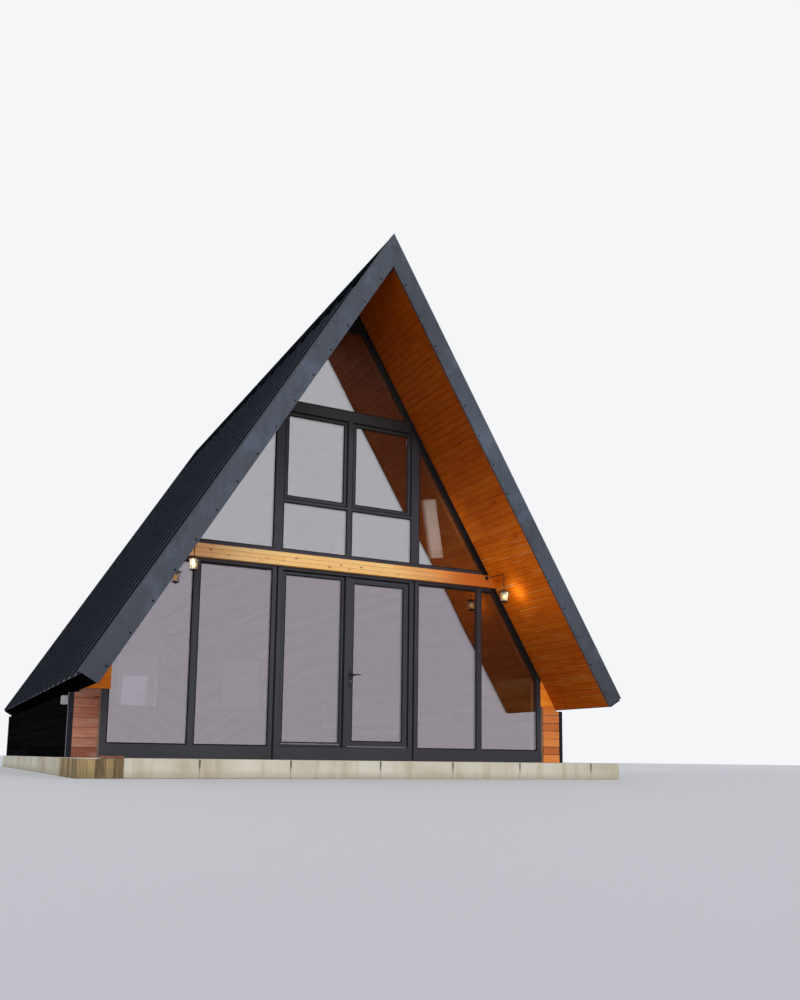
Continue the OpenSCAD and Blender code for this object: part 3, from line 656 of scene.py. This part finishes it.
def glulam_surface(place):
    x, y, z = place.axes()
    layer = (z - BEAM_LOW.z) / LAYER_H
    stretch = (x / 2.6 + layer.floor() * 0.37).floor() * 3.1 + layer.floor() * 7.7
    luck = stretch.dice()
    edge = abs(layer % 1.0 - 0.5) * 2
    field = place.at(x * 0.9 + luck * 40, y * 9, z * 16 + luck * 17).noise(1.0, 2)
    rings = (field * 60).sine() * 0.5 + 0.5
    fibre = place.at(x * 7, y * 150, z * 230).noise(1.0, 3, 0.6)
    cloud = place.at(x * 2.2, y * 3, z * 14).noise(1.0, 3)
    knot = place.add("TexVoronoi", sockets={
        "Vector": place.at(x * 9 + luck * 5, y * 6, z * 19 + luck * 3), "Scale": 1.0})
    chosen = Value(place.tree, knot.socket.node.outputs["Color"]).axes()[0].rise(0.74, 0.75)
    core = (1 - knot.rise(0.09, 0.17)) * chosen
    # The left end of the beam is made paler: painted light against the shadow of the left overhang.
    painted_light_left_end = (1 - x.rise(-2.2, -0.4)) * 0.45
    base = rings * 0.2 + fibre * 0.35 + cloud * 0.35 + (luck - 0.5) * 0.3 - painted_light_left_end - 0.06
    colour = base.ramp((0.0, tone(255, 214, 144)), (0.5, tone(248, 190, 108)),
                       (1.0, tone(212, 138, 60)))
    # Towards the right end the beam turns a darker, deeper orange: painted warm shade.
    colour = (x.rise(0.6, 2.0) * 0.95).colours(colour, tone(200, 98, 10))
    colour = ((1 - knot.rise(0.15, 0.4)) * chosen * 0.5).colours(colour, tone(190, 110, 44))
    colour = (core * 0.9).colours(colour, tone(84, 40, 14))
    colour = (edge.rise(0.8, 0.95) * 0.5).colours(colour, tone(176, 104, 40))
    relief = fibre * 0.4 - edge.rise(0.9, 1.0) * 0.8
    return {"Base Color": colour, "Roughness": 0.42 + fibre * 0.15, "Normal": relief.bump(0.0012)}


dress(finish("glued_beam_wood", glulam_surface), "tie_beam", edge=0.006)


# Glazed front
# Posts, rails and sloping frames are foil-covered anthracite profiles, joined bay by bay, with two
# sashes in the upper middle. A bead and a black gasket hold the insulated glass in each bay.

def foil_surface(place):
    x, y, z = place.axes()
    grain = place.noise(420, 2)
    cloud = place.noise(1.1, 4)
    shade = (cloud * 0.7 + grain * 0.3).ramp((0.3, tone(40, 40, 47)), (0.55, tone(49, 50, 58)),
                                             (0.75, tone(60, 61, 70)))
    # Above 4.7 m the foil turns dark brown: painted shade under the roof and a painted reflection of the
    # soffit.
    shade = (z.rise(4.7, 5.1) * 0.85).colours(shade, tone(24, 20, 19))
    return {"Base Color": shade, "Roughness": 0.36 + cloud * 0.14, "Normal": grain.bump(0.0004)}


def gasket_surface(place):
    fine = place.noise(300, 2)
    return {"Base Color": fine.ramp((0.3, tone(12, 12, 14)), (0.7, tone(20, 20, 22))),
            "Roughness": 0.6 + fine * 0.2, "Normal": fine.bump(0.0004)}


frame_foil = finish("anthracite_foil", foil_surface, Specular_IOR_Level=0.4)
gasket_rubber = finish("gasket_rubber", gasket_surface, Specular_IOR_Level=0.2)
dress(frame_foil, "ground_posts", "ground_rails", "loft_posts", "loft_rails", "loft_sashes", edge=0.003)
# The sloping frames take a darker copy of the foil: painted shade under the overhangs and a painted
# reflection of the soffit.
shaded_slope_foil = finish("slope_foil_painted_shade", painted_surface(tone(24, 23, 25), worn=0.2),
                    Specular_IOR_Level=0.25)
dress(shaded_slope_foil, "left_slope_frame", "right_slope_frame", edge=0.003)


def inset(outline, distance):
    """A convex outline with every side moved in by a distance."""
    area = sum(ax * bz - bx * az for (ax, az), (bx, bz) in zip(outline, outline[1:] + outline[:1]))
    turn = 1 if area > 0 else -1
    lines = []
    for (ax, az), (bx, bz) in zip(outline, outline[1:] + outline[:1]):
        length = math.hypot(bx - ax, bz - az)
        nx, nz = -(bz - az) / length * turn, (bx - ax) / length * turn
        lines.append((ax + nx * distance, az + nz * distance, (bx - ax) / length, (bz - az) / length))
    corners = []
    for (px, pz, dx, dz), (qx, qz, ex, ez) in zip(lines[-1:] + lines[:-1], lines):
        share = ((qx - px) * ez - (qz - pz) * ex) / (dx * ez - dz * ex)
        corners.append((px + dx * share, pz + dz * share))
    return corners


def ring(shape, outline, steps):
    """Adds a mitred profile all round an outline: steps are (distance in, y)."""
    skin(shape, [[shape.verts.new((x, y, z)) for x, z in inset(outline, distance)]
                 for distance, y in steps], closed=True)


GLASS_T = 0.024


def glaze(beads, seals, outline, face_y, pane_y, inner_y):
    """Black rubber outside a pane, and inside it a bead with its seal, all round."""
    ring(seals, outline, [(0.0003, face_y + 0.0012), (0.004, face_y + 0.0012), (0.0155, pane_y - 0.004),
                          (0.0165, pane_y - 0.0005), (0.0003, pane_y - 0.0005)])
    back_y = pane_y + GLASS_T
    ring(beads, outline, [(0.0003, inner_y - 0.003), (0.004, inner_y - 0.0022), (0.016, inner_y - 0.007),
                          (0.018, back_y + 0.003), (0.0003, back_y + 0.003)])
    ring(seals, outline, [(0.002, back_y + 0.003), (0.0215, back_y + 0.003), (0.023, back_y + 0.0005),
                          (0.002, back_y + 0.0005)])


n_in = -0.0683
low_bays, high_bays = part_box("ground_glass"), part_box("loft_glass")
rail_z, head_z, loft_z, lining_in = low_bays[0].z, low_bays[1].z, high_bays[0].z, low_bays[1].x
sash_low, sash_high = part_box("loft_sashes")
sash_z, transom_z, main_in = sash_low.z, sash_high.z, sash_high.x
bar_z, transom_top, main_out = sash_z - 0.04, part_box("loft_rails")[1].z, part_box("loft_posts")[1].x
mullion, thin_in, thin_out, jamb = 0.034, 2.117, 2.197, 0.976
joint_in, joint_out, seal_foot, seal_peak = 1.0385, 1.0655, 1.09, 6.78


def frame_z(x):
    """Height of the inner edge of the sloping frames, x from the middle."""
    return RIDGE_Z - x * STEEP + n_in / RUN


def peak(level):
    """Outline of what lies between the sloping frames above a level."""
    return [(-slope_x(level, n_in), level), (slope_x(level, n_in), level), (0.0, frame_z(0.0))]


bays = [peak(transom_top)]
for side in (-1, 1):
    for outline in (
            [(thin_out, rail_z), (lining_in, rail_z), (lining_in, frame_z(lining_in)),
             (slope_x(head_z, n_in), head_z), (thin_out, head_z)],
            [(main_out, rail_z), (thin_in, rail_z), (thin_in, head_z), (main_out, head_z)],
            [(main_out, loft_z), (slope_x(loft_z, n_in), loft_z), (main_out, frame_z(main_out))],
            [(mullion, loft_z), (main_in, loft_z), (main_in, bar_z), (mullion, bar_z)]):
        bays.append([(side * x, z) for x, z in outline])
sashes = [[(side * x, z) for x, z in ((mullion, sash_z), (main_in, sash_z), (main_in, transom_z),
                                      (mullion, transom_z))] for side in (-1, 1)]

pane_y, inside_y = glaze_y + 0.014, glaze_y + 0.08
sash_y, leaf_y = glaze_y + 0.026, glaze_y + 0.028
beads, seals = bmesh.new(), bmesh.new()
for bay in bays:
    glaze(beads, seals, bay, glaze_y, pane_y, inside_y)
for sash in sashes:
    glaze(beads, seals, inset(sash, 0.052), sash_y, sash_y + 0.013, sash_y + 0.05)
    ring(seals, sash, [(0.0003, glaze_y + 0.004), (0.003, glaze_y + 0.004), (0.018, sash_y - 0.0015),
                       (0.0003, sash_y - 0.0005)])
ring(seals, [(-jamb, rail_z), (jamb, rail_z), (jamb, head_z), (-jamb, head_z)], [
    (0.0003, glaze_y + 0.003), (0.0035, glaze_y + 0.003), (0.0035, leaf_y - 0.003), (0.0003, leaf_y - 0.003)])
for side in (-1, 1):
    # Under each ground head a black strip 29 mm high: a gasket, widened as painted shadow of the beam above.
    for x0, x1 in ((main_out, thin_in), (thin_out, slope_x(head_z, n_in) - 0.002)):
        bar(seals, side * x0, side * x1, glaze_y + 0.003, pane_y - 0.0005, head_z - 0.029, head_z - 0.0003)
    bar(seals, side * joint_in, side * joint_out, glaze_y + 0.0185, glaze_y + 0.0198,
        SLAB_TOP + 0.002, BEAM_LOW.z - 0.001)
    for low, high in ((seal_foot, BEAM_LOW.z - 0.0005), (BEAM_HIGH.z + 0.0005, seal_peak)):
        u0, u1 = (RIDGE_Z - high) / RISE, (RIDGE_Z - low) / RISE
        prism(seals, slope_strip(side, u0, u1, -0.0003, -0.021), glaze_y - 0.02, glaze_y - 0.0005)

# A dark board before the glass fills the narrow peak down to a level edge. Like the sloping frames it takes
# the foil darkened as painted shade.
shape, filler_low = bmesh.new(), 6.42
prism(shape, inset(peak(filler_low), 0.017), glaze_y + 0.004, pane_y - 0.001)
piece("peak_filler", shape, shaded_slope_foil, ease=0.001)
piece("glazing_beads", beads, frame_foil)
piece("glazing_gaskets", seals, gasket_rubber)


# Glass
# Insulated glass with a thin metal coating. It mirrors what lies before it, and lets the rooms show
# where something dark is mirrored in it.

def glass_surface(place):
    cloud = place.noise(0.8, 2)
    return {"Roughness": 0.015 + cloud * 0.02, "Normal": place.noise(0.55, 1).bump(0.012)}


for name, colour, alpha, nodes in (
        ("loft_coated_glass", tone(238, 236, 240), 0.34, ["loft_glass"]),
        ("ground_coated_glass", tone(232, 222, 232), 0.24,
         ["ground_glass", "left_door_glass", "right_door_glass"]),
        ("back_window_glass", tone(118, 122, 130), 0.85, ["back_glass"])):
    dress(finish(name, glass_surface, Base_Color=colour, Metallic=1.0, Alpha=alpha), *nodes)


# Doors
# Two glazed leaves of the same profiles open inwards on three hinges each. A strip on the right leaf
# covers the meeting joint, and the same leaf carries the lever handles and the lock cylinder.

def drip_surface(place):
    brushed = place.at(*[axis * k for axis, k in zip(place.axes(), (8, 200, 200))]).noise(1.0, 2)
    return {"Base Color": brushed.ramp((0.3, tone(150, 152, 156)), (0.7, tone(188, 190, 194))),
            "Roughness": 0.3 + brushed * 0.2}


bright_metal = finish("weather_bar_metal", drip_surface, Metallic=0.9)


def fold(shape, profile, x0, x1):
    """Adds a profile in y and z to a mesh, drawn out from x0 to x1."""
    skin(shape, [[shape.verts.new((x, y, z)) for y, z in profile] for x in (x0, x1)])


def weather_bar(name, x0, x1, face_y, low, body):
    """A folded drip bar across the foot of a pane."""
    shape = bmesh.new()
    profile = [(face_y - 0.0005, low), (face_y - 0.012, low - 0.002), (face_y - 0.0125, low + 0.002),
               (face_y - 0.0005, low + 0.015)]
    fold(shape, profile, x0, x1)
    piece(name, shape, bright_metal, body)


dress(frame_foil, "left_door_leaf", "right_door_leaf", edge=0.003)
leaf_back, leaf_side, strip_x = leaf_y + 0.05, jamb - 0.007, -0.057
left_leaf, right_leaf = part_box("left_door_leaf"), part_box("right_door_leaf")
leaf_low, leaf_top = left_leaf[0].z, left_leaf[1].z
for body, x0, x1 in (("left_door", -leaf_side, left_leaf[1].x), ("right_door", -right_leaf[0].x, leaf_side)):
    low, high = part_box(body + "_glass")
    beads, seals = bmesh.new(), bmesh.new()
    glaze(beads, seals, [(low.x, low.z), (high.x, low.z), (high.x, high.z), (low.x, high.z)],
          leaf_y, leaf_y + 0.013, leaf_back)
    seal_y = (leaf_y - 0.0015, leaf_y - 0.0002)
    bar(seals, x0 + 0.001, x1 - 0.001, *seal_y, leaf_top - 0.014, leaf_top - 0.001)
    if body == "left_door":
        # A black strip down the meeting edge of the left leaf: painted shadow of the cover strip.
        bar(seals, strip_x, x1 - 0.0005, *seal_y, leaf_low + 0.001, leaf_top - 0.014)
        weather_bar("left_door_drip_bar", low.x, high.x, leaf_y, low.z - 0.016, body)
    else:
        weather_bar("right_door_drip_bar", x0 + 0.014, x1 - 0.006, leaf_y, leaf_low + 0.002, body)
    piece(body + "_beads", beads, frame_foil, body)
    piece(body + "_gaskets", seals, gasket_rubber, body)


def handle_surface(place):
    fine = place.noise(240, 2)
    return {"Base Color": fine.ramp((0.3, tone(34, 35, 38)), (0.7, tone(48, 49, 54))),
            "Roughness": 0.3 + fine * 0.12}


dress(finish("handle_paint", handle_surface, Metallic=0.6), "door_handle", edge=0.0008)
lock_x, lock_z, plate_t = 0.07, 1.318, 0.0145
shape = bmesh.new()
for y, out in ((leaf_y - plate_t, -1), (leaf_back + plate_t, 1)):
    knob(shape, (lock_x, y - out * 0.0005, lock_z), (0, out, 0),
         [(0.0, 0.0082), (0.0035, 0.0082), (0.0045, 0.007)], 20)
    knob(shape, (lock_x, y + out * 0.003, lock_z), (0, out, 0), [(0.0, 0.0016), (0.0016, 0.0012)], 8)
piece("lock_cylinders", shape, bright_metal, "right_door", smooth=40)


# Lanterns
# A lantern hangs in front of each end of the tie beam: a round wall plate, a thin arm that reaches out
# and bends down, a wide cap, clear glass that narrows downwards, and a warm bulb inside.

def tube(shape, points, radius, sides=12):
    """A round bar along a path."""
    loops, angles = [], [2 * math.pi * k / sides for k in range(sides)]
    for i, spot in enumerate(points):
        ahead = Vector(points[min(i + 1, len(points) - 1)]) - Vector(points[max(i - 1, 0)])
        side = ahead.normalized().cross(Vector((1, 0, 0))).normalized()
        up = side.cross(ahead.normalized())
        loops.append([shape.verts.new(Vector(spot) + radius * (side * math.cos(a) + up * math.sin(a)))
                      for a in angles])
    skin(shape, loops)


arm_z, foot_x, foot_y, bend = BEAM_LOW.z + 2.28 * LAYER_H, 2.256, BEAM_LOW.y, 0.032
lantern_x, lantern_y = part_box("lantern_frames")[1].x - 0.078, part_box("lantern_glass")[0].y + 0.064
glass_low, cap_z = [corner.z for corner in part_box("lantern_glass")]
metal, bulbs = bmesh.new(), bmesh.new()
for side in (-1, 1):
    foot, corner = Vector((side * foot_x, foot_y, arm_z)), Vector((side * lantern_x, lantern_y, arm_z))
    reach = (corner - foot).normalized()
    knob(metal, foot + Vector((0, 0.0004, 0)), (0, -1, 0),
         [(0.0, 0.03), (0.006, 0.03), (0.010, 0.026), (0.014, 0.012), (0.022, 0.009)], 24)
    path = [foot + reach * along for along in (0.012, 0.14, 0.27)]
    for i in range(7):
        angle = math.pi / 2 * i / 6
        down = Vector((0, 0, bend * (1 - math.cos(angle))))
        path.append(corner - reach * bend * (1 - math.sin(angle)) - down)
    path.append(corner - Vector((0, 0, arm_z - cap_z - 0.036)))
    tube(metal, path, 0.006)
    cap, base = Vector((corner.x, corner.y, cap_z)), Vector((corner.x, corner.y, glass_low))
    knob(metal, cap, (0, 0, 1),
         [(0.0, 0.060), (0.0, 0.077), (0.004, 0.078), (0.010, 0.076), (0.016, 0.062), (0.024, 0.042),
          (0.031, 0.026), (0.037, 0.014), (0.044, 0.009)], 32)
    knob(metal, base, (0, 0, -1),
         [(-0.001, 0.052), (0.004, 0.054), (0.011, 0.050), (0.014, 0.028), (0.022, 0.013),
          (0.034, 0.007)], 32)
    knob(metal, cap, (0, 0, -1), [(0.0, 0.017), (0.022, 0.017), (0.026, 0.013)], 20)

    def round_cage(angle, radius, below_cap):
        """A place on the cage round the glass."""
        return cap + Vector((math.cos(angle) * radius, math.sin(angle) * radius, -below_cap))

    for k in range(4):
        angle = math.pi / 4 + math.pi / 2 * k
        tube(metal, [round_cage(angle, 0.0665, 0), round_cage(angle, 0.0535, cap_z - glass_low + 0.002)],
             0.0024, 6)
    for below in (0.045, 0.088):
        loop = [round_cage(i * math.pi / 12, 0.0665 - below * 0.1, below) for i in range(25)]
        for start, end in zip(loop, loop[1:]):
            tube(metal, [start, end], 0.0016, 6)
    knob(bulbs, cap - Vector((0, 0, 0.024)), (0, 0, -1),
         [(0.0, 0.012), (0.012, 0.014), (0.024, 0.020), (0.038, 0.026), (0.050, 0.0285), (0.062, 0.026),
          (0.072, 0.018), (0.078, 0.008)], 24)
lantern_paint = finish("lantern_paint", painted_surface(tone(30, 29, 29), scale=6.0), Metallic=0.4)
lanterns = piece("lantern_metalwork", metal, lantern_paint, smooth=35)
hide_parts("lantern_frames")


def bulb_surface(place):
    glow = place.noise(30, 1)
    return {"Base Color": glow.ramp((0.3, tone(255, 226, 170)), (0.7, tone(255, 240, 205)))}


warm_bulb = finish("warm_bulb", bulb_surface, Emission_Color=tone(255, 206, 120),
                   Emission_Strength=1.25, Roughness=0.2)
piece("lantern_bulbs", bulbs, warm_bulb, smooth=60)


def lantern_glass_surface(place):
    ripple = place.noise(60, 2)
    return {"Roughness": 0.05 + ripple * 0.06, "Normal": ripple.bump(0.0008)}


dress(finish("lantern_clear_glass", lantern_glass_surface, Base_Color=tone(250, 240, 214), Alpha=0.14,
             IOR=1.5, Coat_Weight=1.0), "lantern_glass")


# Back gable
# The back wall closes the far gable. Reddish planks like those of the front pillars cover it between
# the slopes, with two windows below, one above, folded metal sills and anthracite frames.

lowest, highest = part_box("back_window_frames")
ground_w, ground_h, upper_w, upper_h = 1.0, 1.25, 0.95, 1.15
windows = [(x, x + ground_w, lowest.z, lowest.z + ground_h) for x in (lowest.x, highest.x - ground_w)]
windows.append((-upper_w / 2, upper_w / 2, highest.z - upper_h, highest.z))
pitch, joint, margin, top_z = 0.135, 0.005, 0.06, 6.76
shape, low = bmesh.new(), SLAB_TOP + 0.006
while low < top_z - 0.04:
    high = min(low + pitch - joint, top_z)
    cuts = sorted({z for _, _, z0, z1 in windows for z in (z0 - margin, z1 + margin) if low < z < high})
    for z0, z1 in zip([low] + cuts, cuts + [high]):
        holes = [(x0 - margin, x1 + margin) for x0, x1, sill, head in windows
                 if sill - margin < (z0 + z1) / 2 < head + margin]
        widest = pillar_out if z1 < eave_z else math.inf
        ends = [min(slope_x(z) - 0.004, widest) for z in (z0, z1)]
        starts = [(-ends[0], -ends[1])] + [(b, b) for a, b in holes]
        stops = [(a, a) for a, b in holes] + [(ends[0], ends[1])]
        for (s0, s1), (e0, e1) in zip(starts, stops):
            if e1 - s1 > 0.02:
                prism(shape, [(s0, z0), (e0, z0), (e1, z1), (s1, z1)], back_out_y + 0.0005, back_out_y + 0.02)
    low += pitch
gable_planks = level_planks("back_gable_planks", pitch, tone(188, 134, 108), tone(156, 100, 78),
                            tone(112, 66, 48), weather=0.45, start=SLAB_TOP + 0.006)
piece("back_planks", shape, gable_planks, ease=0.003, steps=2)

dress(frame_foil, "back_window_frames", edge=0.003)
trims, sills, beads, seals = bmesh.new(), bmesh.new(), bmesh.new(), bmesh.new()
wall_y, frame_w, trim_y = back_out_y + 0.0005, 0.07, back_out_y + 0.026
out_y, glass_y = back_out_y - 0.04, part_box("back_glass")[1].y
for x0, x1, z0, z1 in windows:
    hole = [(x0, z0), (x1, z0), (x1, z1), (x0, z1)]
    ring(trims, hole, [(-0.056, wall_y), (-0.056, trim_y), (-0.004, trim_y), (-0.004, wall_y)])
    fold(sills, [(back_out_y + y, z0 + z) for y, z in (
        (-0.038, 0.012), (0.06, 0.001), (0.061, -0.03), (0.059, -0.03), (0.058, -0.001), (-0.038, 0.010))],
         x0 + 0.002, x1 - 0.002)
    pane = inset(hole, frame_w)
    ring(beads, pane, [(0.0003, out_y - 0.003), (0.004, out_y - 0.0022), (0.011, out_y - 0.008),
                       (0.014, glass_y + 0.003), (0.0003, glass_y + 0.003)])
    ring(seals, pane, [(0.002, glass_y + 0.003), (0.0185, glass_y + 0.003), (0.0205, glass_y + 0.0005),
                       (0.002, glass_y + 0.0005)])
piece("back_window_trims", trims, black_metal)
piece("back_window_sills", sills, barge_metal)
piece("back_window_beads", beads, frame_foil)
piece("back_window_gaskets", seals, gasket_rubber)


# Junction box and indoor unit
# A grey plastic box for the cables hangs on the left wall near the front corner. A white rounded
# unit hangs from an arm on the right slope of the upper room.

def plastic_surface(low, high):
    def surface(place):
        fine, cloud = place.noise(320, 2), place.noise(7, 3)
        return {"Base Color": cloud.ramp((0.3, low), (0.7, high)), "Roughness": 0.42 + cloud * 0.14,
                "Normal": fine.bump(0.0003)}
    return surface


grey_plastic = finish("grey_box_plastic", plastic_surface(tone(138, 140, 142), tone(160, 162, 163)))
dress(grey_plastic, "junction_box", edge=0.006)
box_low, box_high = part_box("junction_box")
shape = bmesh.new()
bar(shape, box_low.x - 0.008, box_low.x - 0.0005, box_low.y + 0.006, box_high.y - 0.006,
    box_low.z + 0.006, box_high.z - 0.006)
piece("junction_box_lid", shape, grey_plastic, ease=0.003, steps=2)
shape = bmesh.new()
for y in (box_low.y + 0.018, box_high.y - 0.018):
    for z in (box_low.z + 0.018, box_high.z - 0.018):
        knob(shape, (box_low.x - 0.0078, y, z), (-1, 0, 0), [(0, 0.0045), (0.0012, 0.004), (0.0016, 0.003)])
piece("junction_box_screws", shape, bright_metal, smooth=40)

unit_low, unit_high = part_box("indoor_unit")
UNIT_LEAN, UNIT_EDGE = math.radians(9), 0.112
UNIT_MIDDLE = Vector((unit_low.x + 0.179, 0, (unit_low.z + unit_high.z) / 2))


def unit_surface(place):
    """White plastic, and a dark arm past the edge of the unit."""
    x, y, z = place.axes()
    cloud = place.noise(7, 3)
    from_middle = (x - UNIT_MIDDLE.x) * math.cos(UNIT_LEAN) + (z - UNIT_MIDDLE.z) * math.sin(UNIT_LEAN)
    arm = from_middle.rise(UNIT_EDGE - 0.001, UNIT_EDGE + 0.001)
    colour = cloud.ramp((0.3, tone(220, 216, 204)), (0.7, tone(232, 228, 216)))
    return {"Base Color": arm.colours(colour, tone(70, 50, 30)),
            "Roughness": 0.7 + cloud * 0.1, "Normal": place.noise(320, 2).bump(0.0003)}


dress(finish("white_unit_plastic", unit_surface, Specular_IOR_Level=0.2), "indoor_unit")


# Camera and light
# The camera stands low and left of the middle, as for the photograph. A pale floor and light from all
# round, a wide soft lamp from the upper left, one at the unit and one at each lantern show the house.

scene = bpy.context.scene
scene.view_settings.view_transform = "Standard"
yaw, pitch_up, roll = math.radians(26.72), math.radians(8.16), math.radians(0.7)
ahead = Vector((math.cos(pitch_up) * math.sin(yaw), math.cos(pitch_up) * math.cos(yaw), math.sin(pitch_up)))
right = Vector((math.cos(yaw), -math.sin(yaw), 0.0))
up = right.cross(ahead)
right, up = (right * math.cos(roll) + up * math.sin(roll), up * math.cos(roll) - right * math.sin(roll))
picture_h, focal_px, sensor, spot = 1000, 940.4, 36.0, Vector((-5.217, -15.869, 0.247))
lens = bpy.data.cameras.new("photo_camera")
lens.sensor_width, lens.lens = sensor, focal_px / picture_h * sensor
lens.shift_y, lens.clip_end = 0.1243, 400.0
camera = bpy.data.objects.new("photo_camera", lens)
camera.matrix_world = Matrix([(right[i], up[i], -ahead[i], spot[i]) for i in range(3)] + [(0, 0, 0, 1)])
scene.collection.objects.link(camera)
scene.camera = camera


def floor_surface(place):
    return {"Base Color": place.noise(0.05, 2).ramp((0.3, tone(222, 222, 224)), (0.7, tone(228, 228, 229))),
            "Roughness": 0.85 + place.noise(0.2, 1) * 0.05}


shape = bmesh.new()
bmesh.ops.create_circle(shape, cap_ends=True, segments=96, radius=180)
mesh = bpy.data.meshes.new("floor")
shape.to_mesh(mesh)
shape.free()
floor = bpy.data.objects.new("floor", mesh)
floor.location.z = -0.002
mesh.materials.append(finish("floor_paint", floor_surface))
scene.collection.objects.link(floor)

world = bpy.data.worlds.new("studio")
world.use_nodes = True
tree = world.node_tree
backdrop = tree.nodes["Background"]
rays = tree.nodes.new("ShaderNodeLightPath").outputs
seen = Value(tree, rays["Is Camera Ray"]) + Value(tree, rays["Is Glossy Ray"])
seen = (seen + Value(tree, rays["Is Transmission Ray"])).rise(0.0, 1.0)
shade = seen.colours(tone(184, 188, 196), tone(245, 246, 248))
tree.links.new(shade.socket, backdrop.inputs["Color"])
backdrop.inputs["Strength"].default_value = 1.0
scene.world = world


def add_lamp(name, kind, spot, toward, mirrored, **settings):
    """Lights the scene from a spot. One that isn't mirrored doesn't show in glass or metal."""
    lamp = bpy.data.lights.new(name, kind)
    for setting, value in settings.items():
        setattr(lamp, setting, value)
    holder = bpy.data.objects.new(name, lamp)
    holder.location, holder.visible_glossy = spot, mirrored
    holder.rotation_euler = Vector(toward).to_track_quat("-Z", "Y").to_euler()
    scene.collection.objects.link(holder)


add_lamp("soft_lamp", "SUN", (0, 0, 0), (0.32, 0.85, -0.42), True,
         energy=1.45, angle=math.radians(35), color=(1.0, 0.985, 0.96))
lamp_spot = Vector((1.0, -6.2, 1.4))
aim = (unit_low + unit_high) / 2 + Vector((0, 0, 0.12))
add_lamp("indoor_lamp", "SPOT", lamp_spot, aim - lamp_spot, False,
         energy=430, spot_size=math.radians(16), spot_blend=0.8, shadow_soft_size=0.2)
for side in (-1, 1):
    add_lamp("lantern_light", "POINT", (side * (lantern_x + 0.07), lantern_y - 0.09, glass_low + 0.08),
             (0, 0, -1), False, energy=1.35, color=(1.0, 0.98, 0.9), shadow_soft_size=0.03)
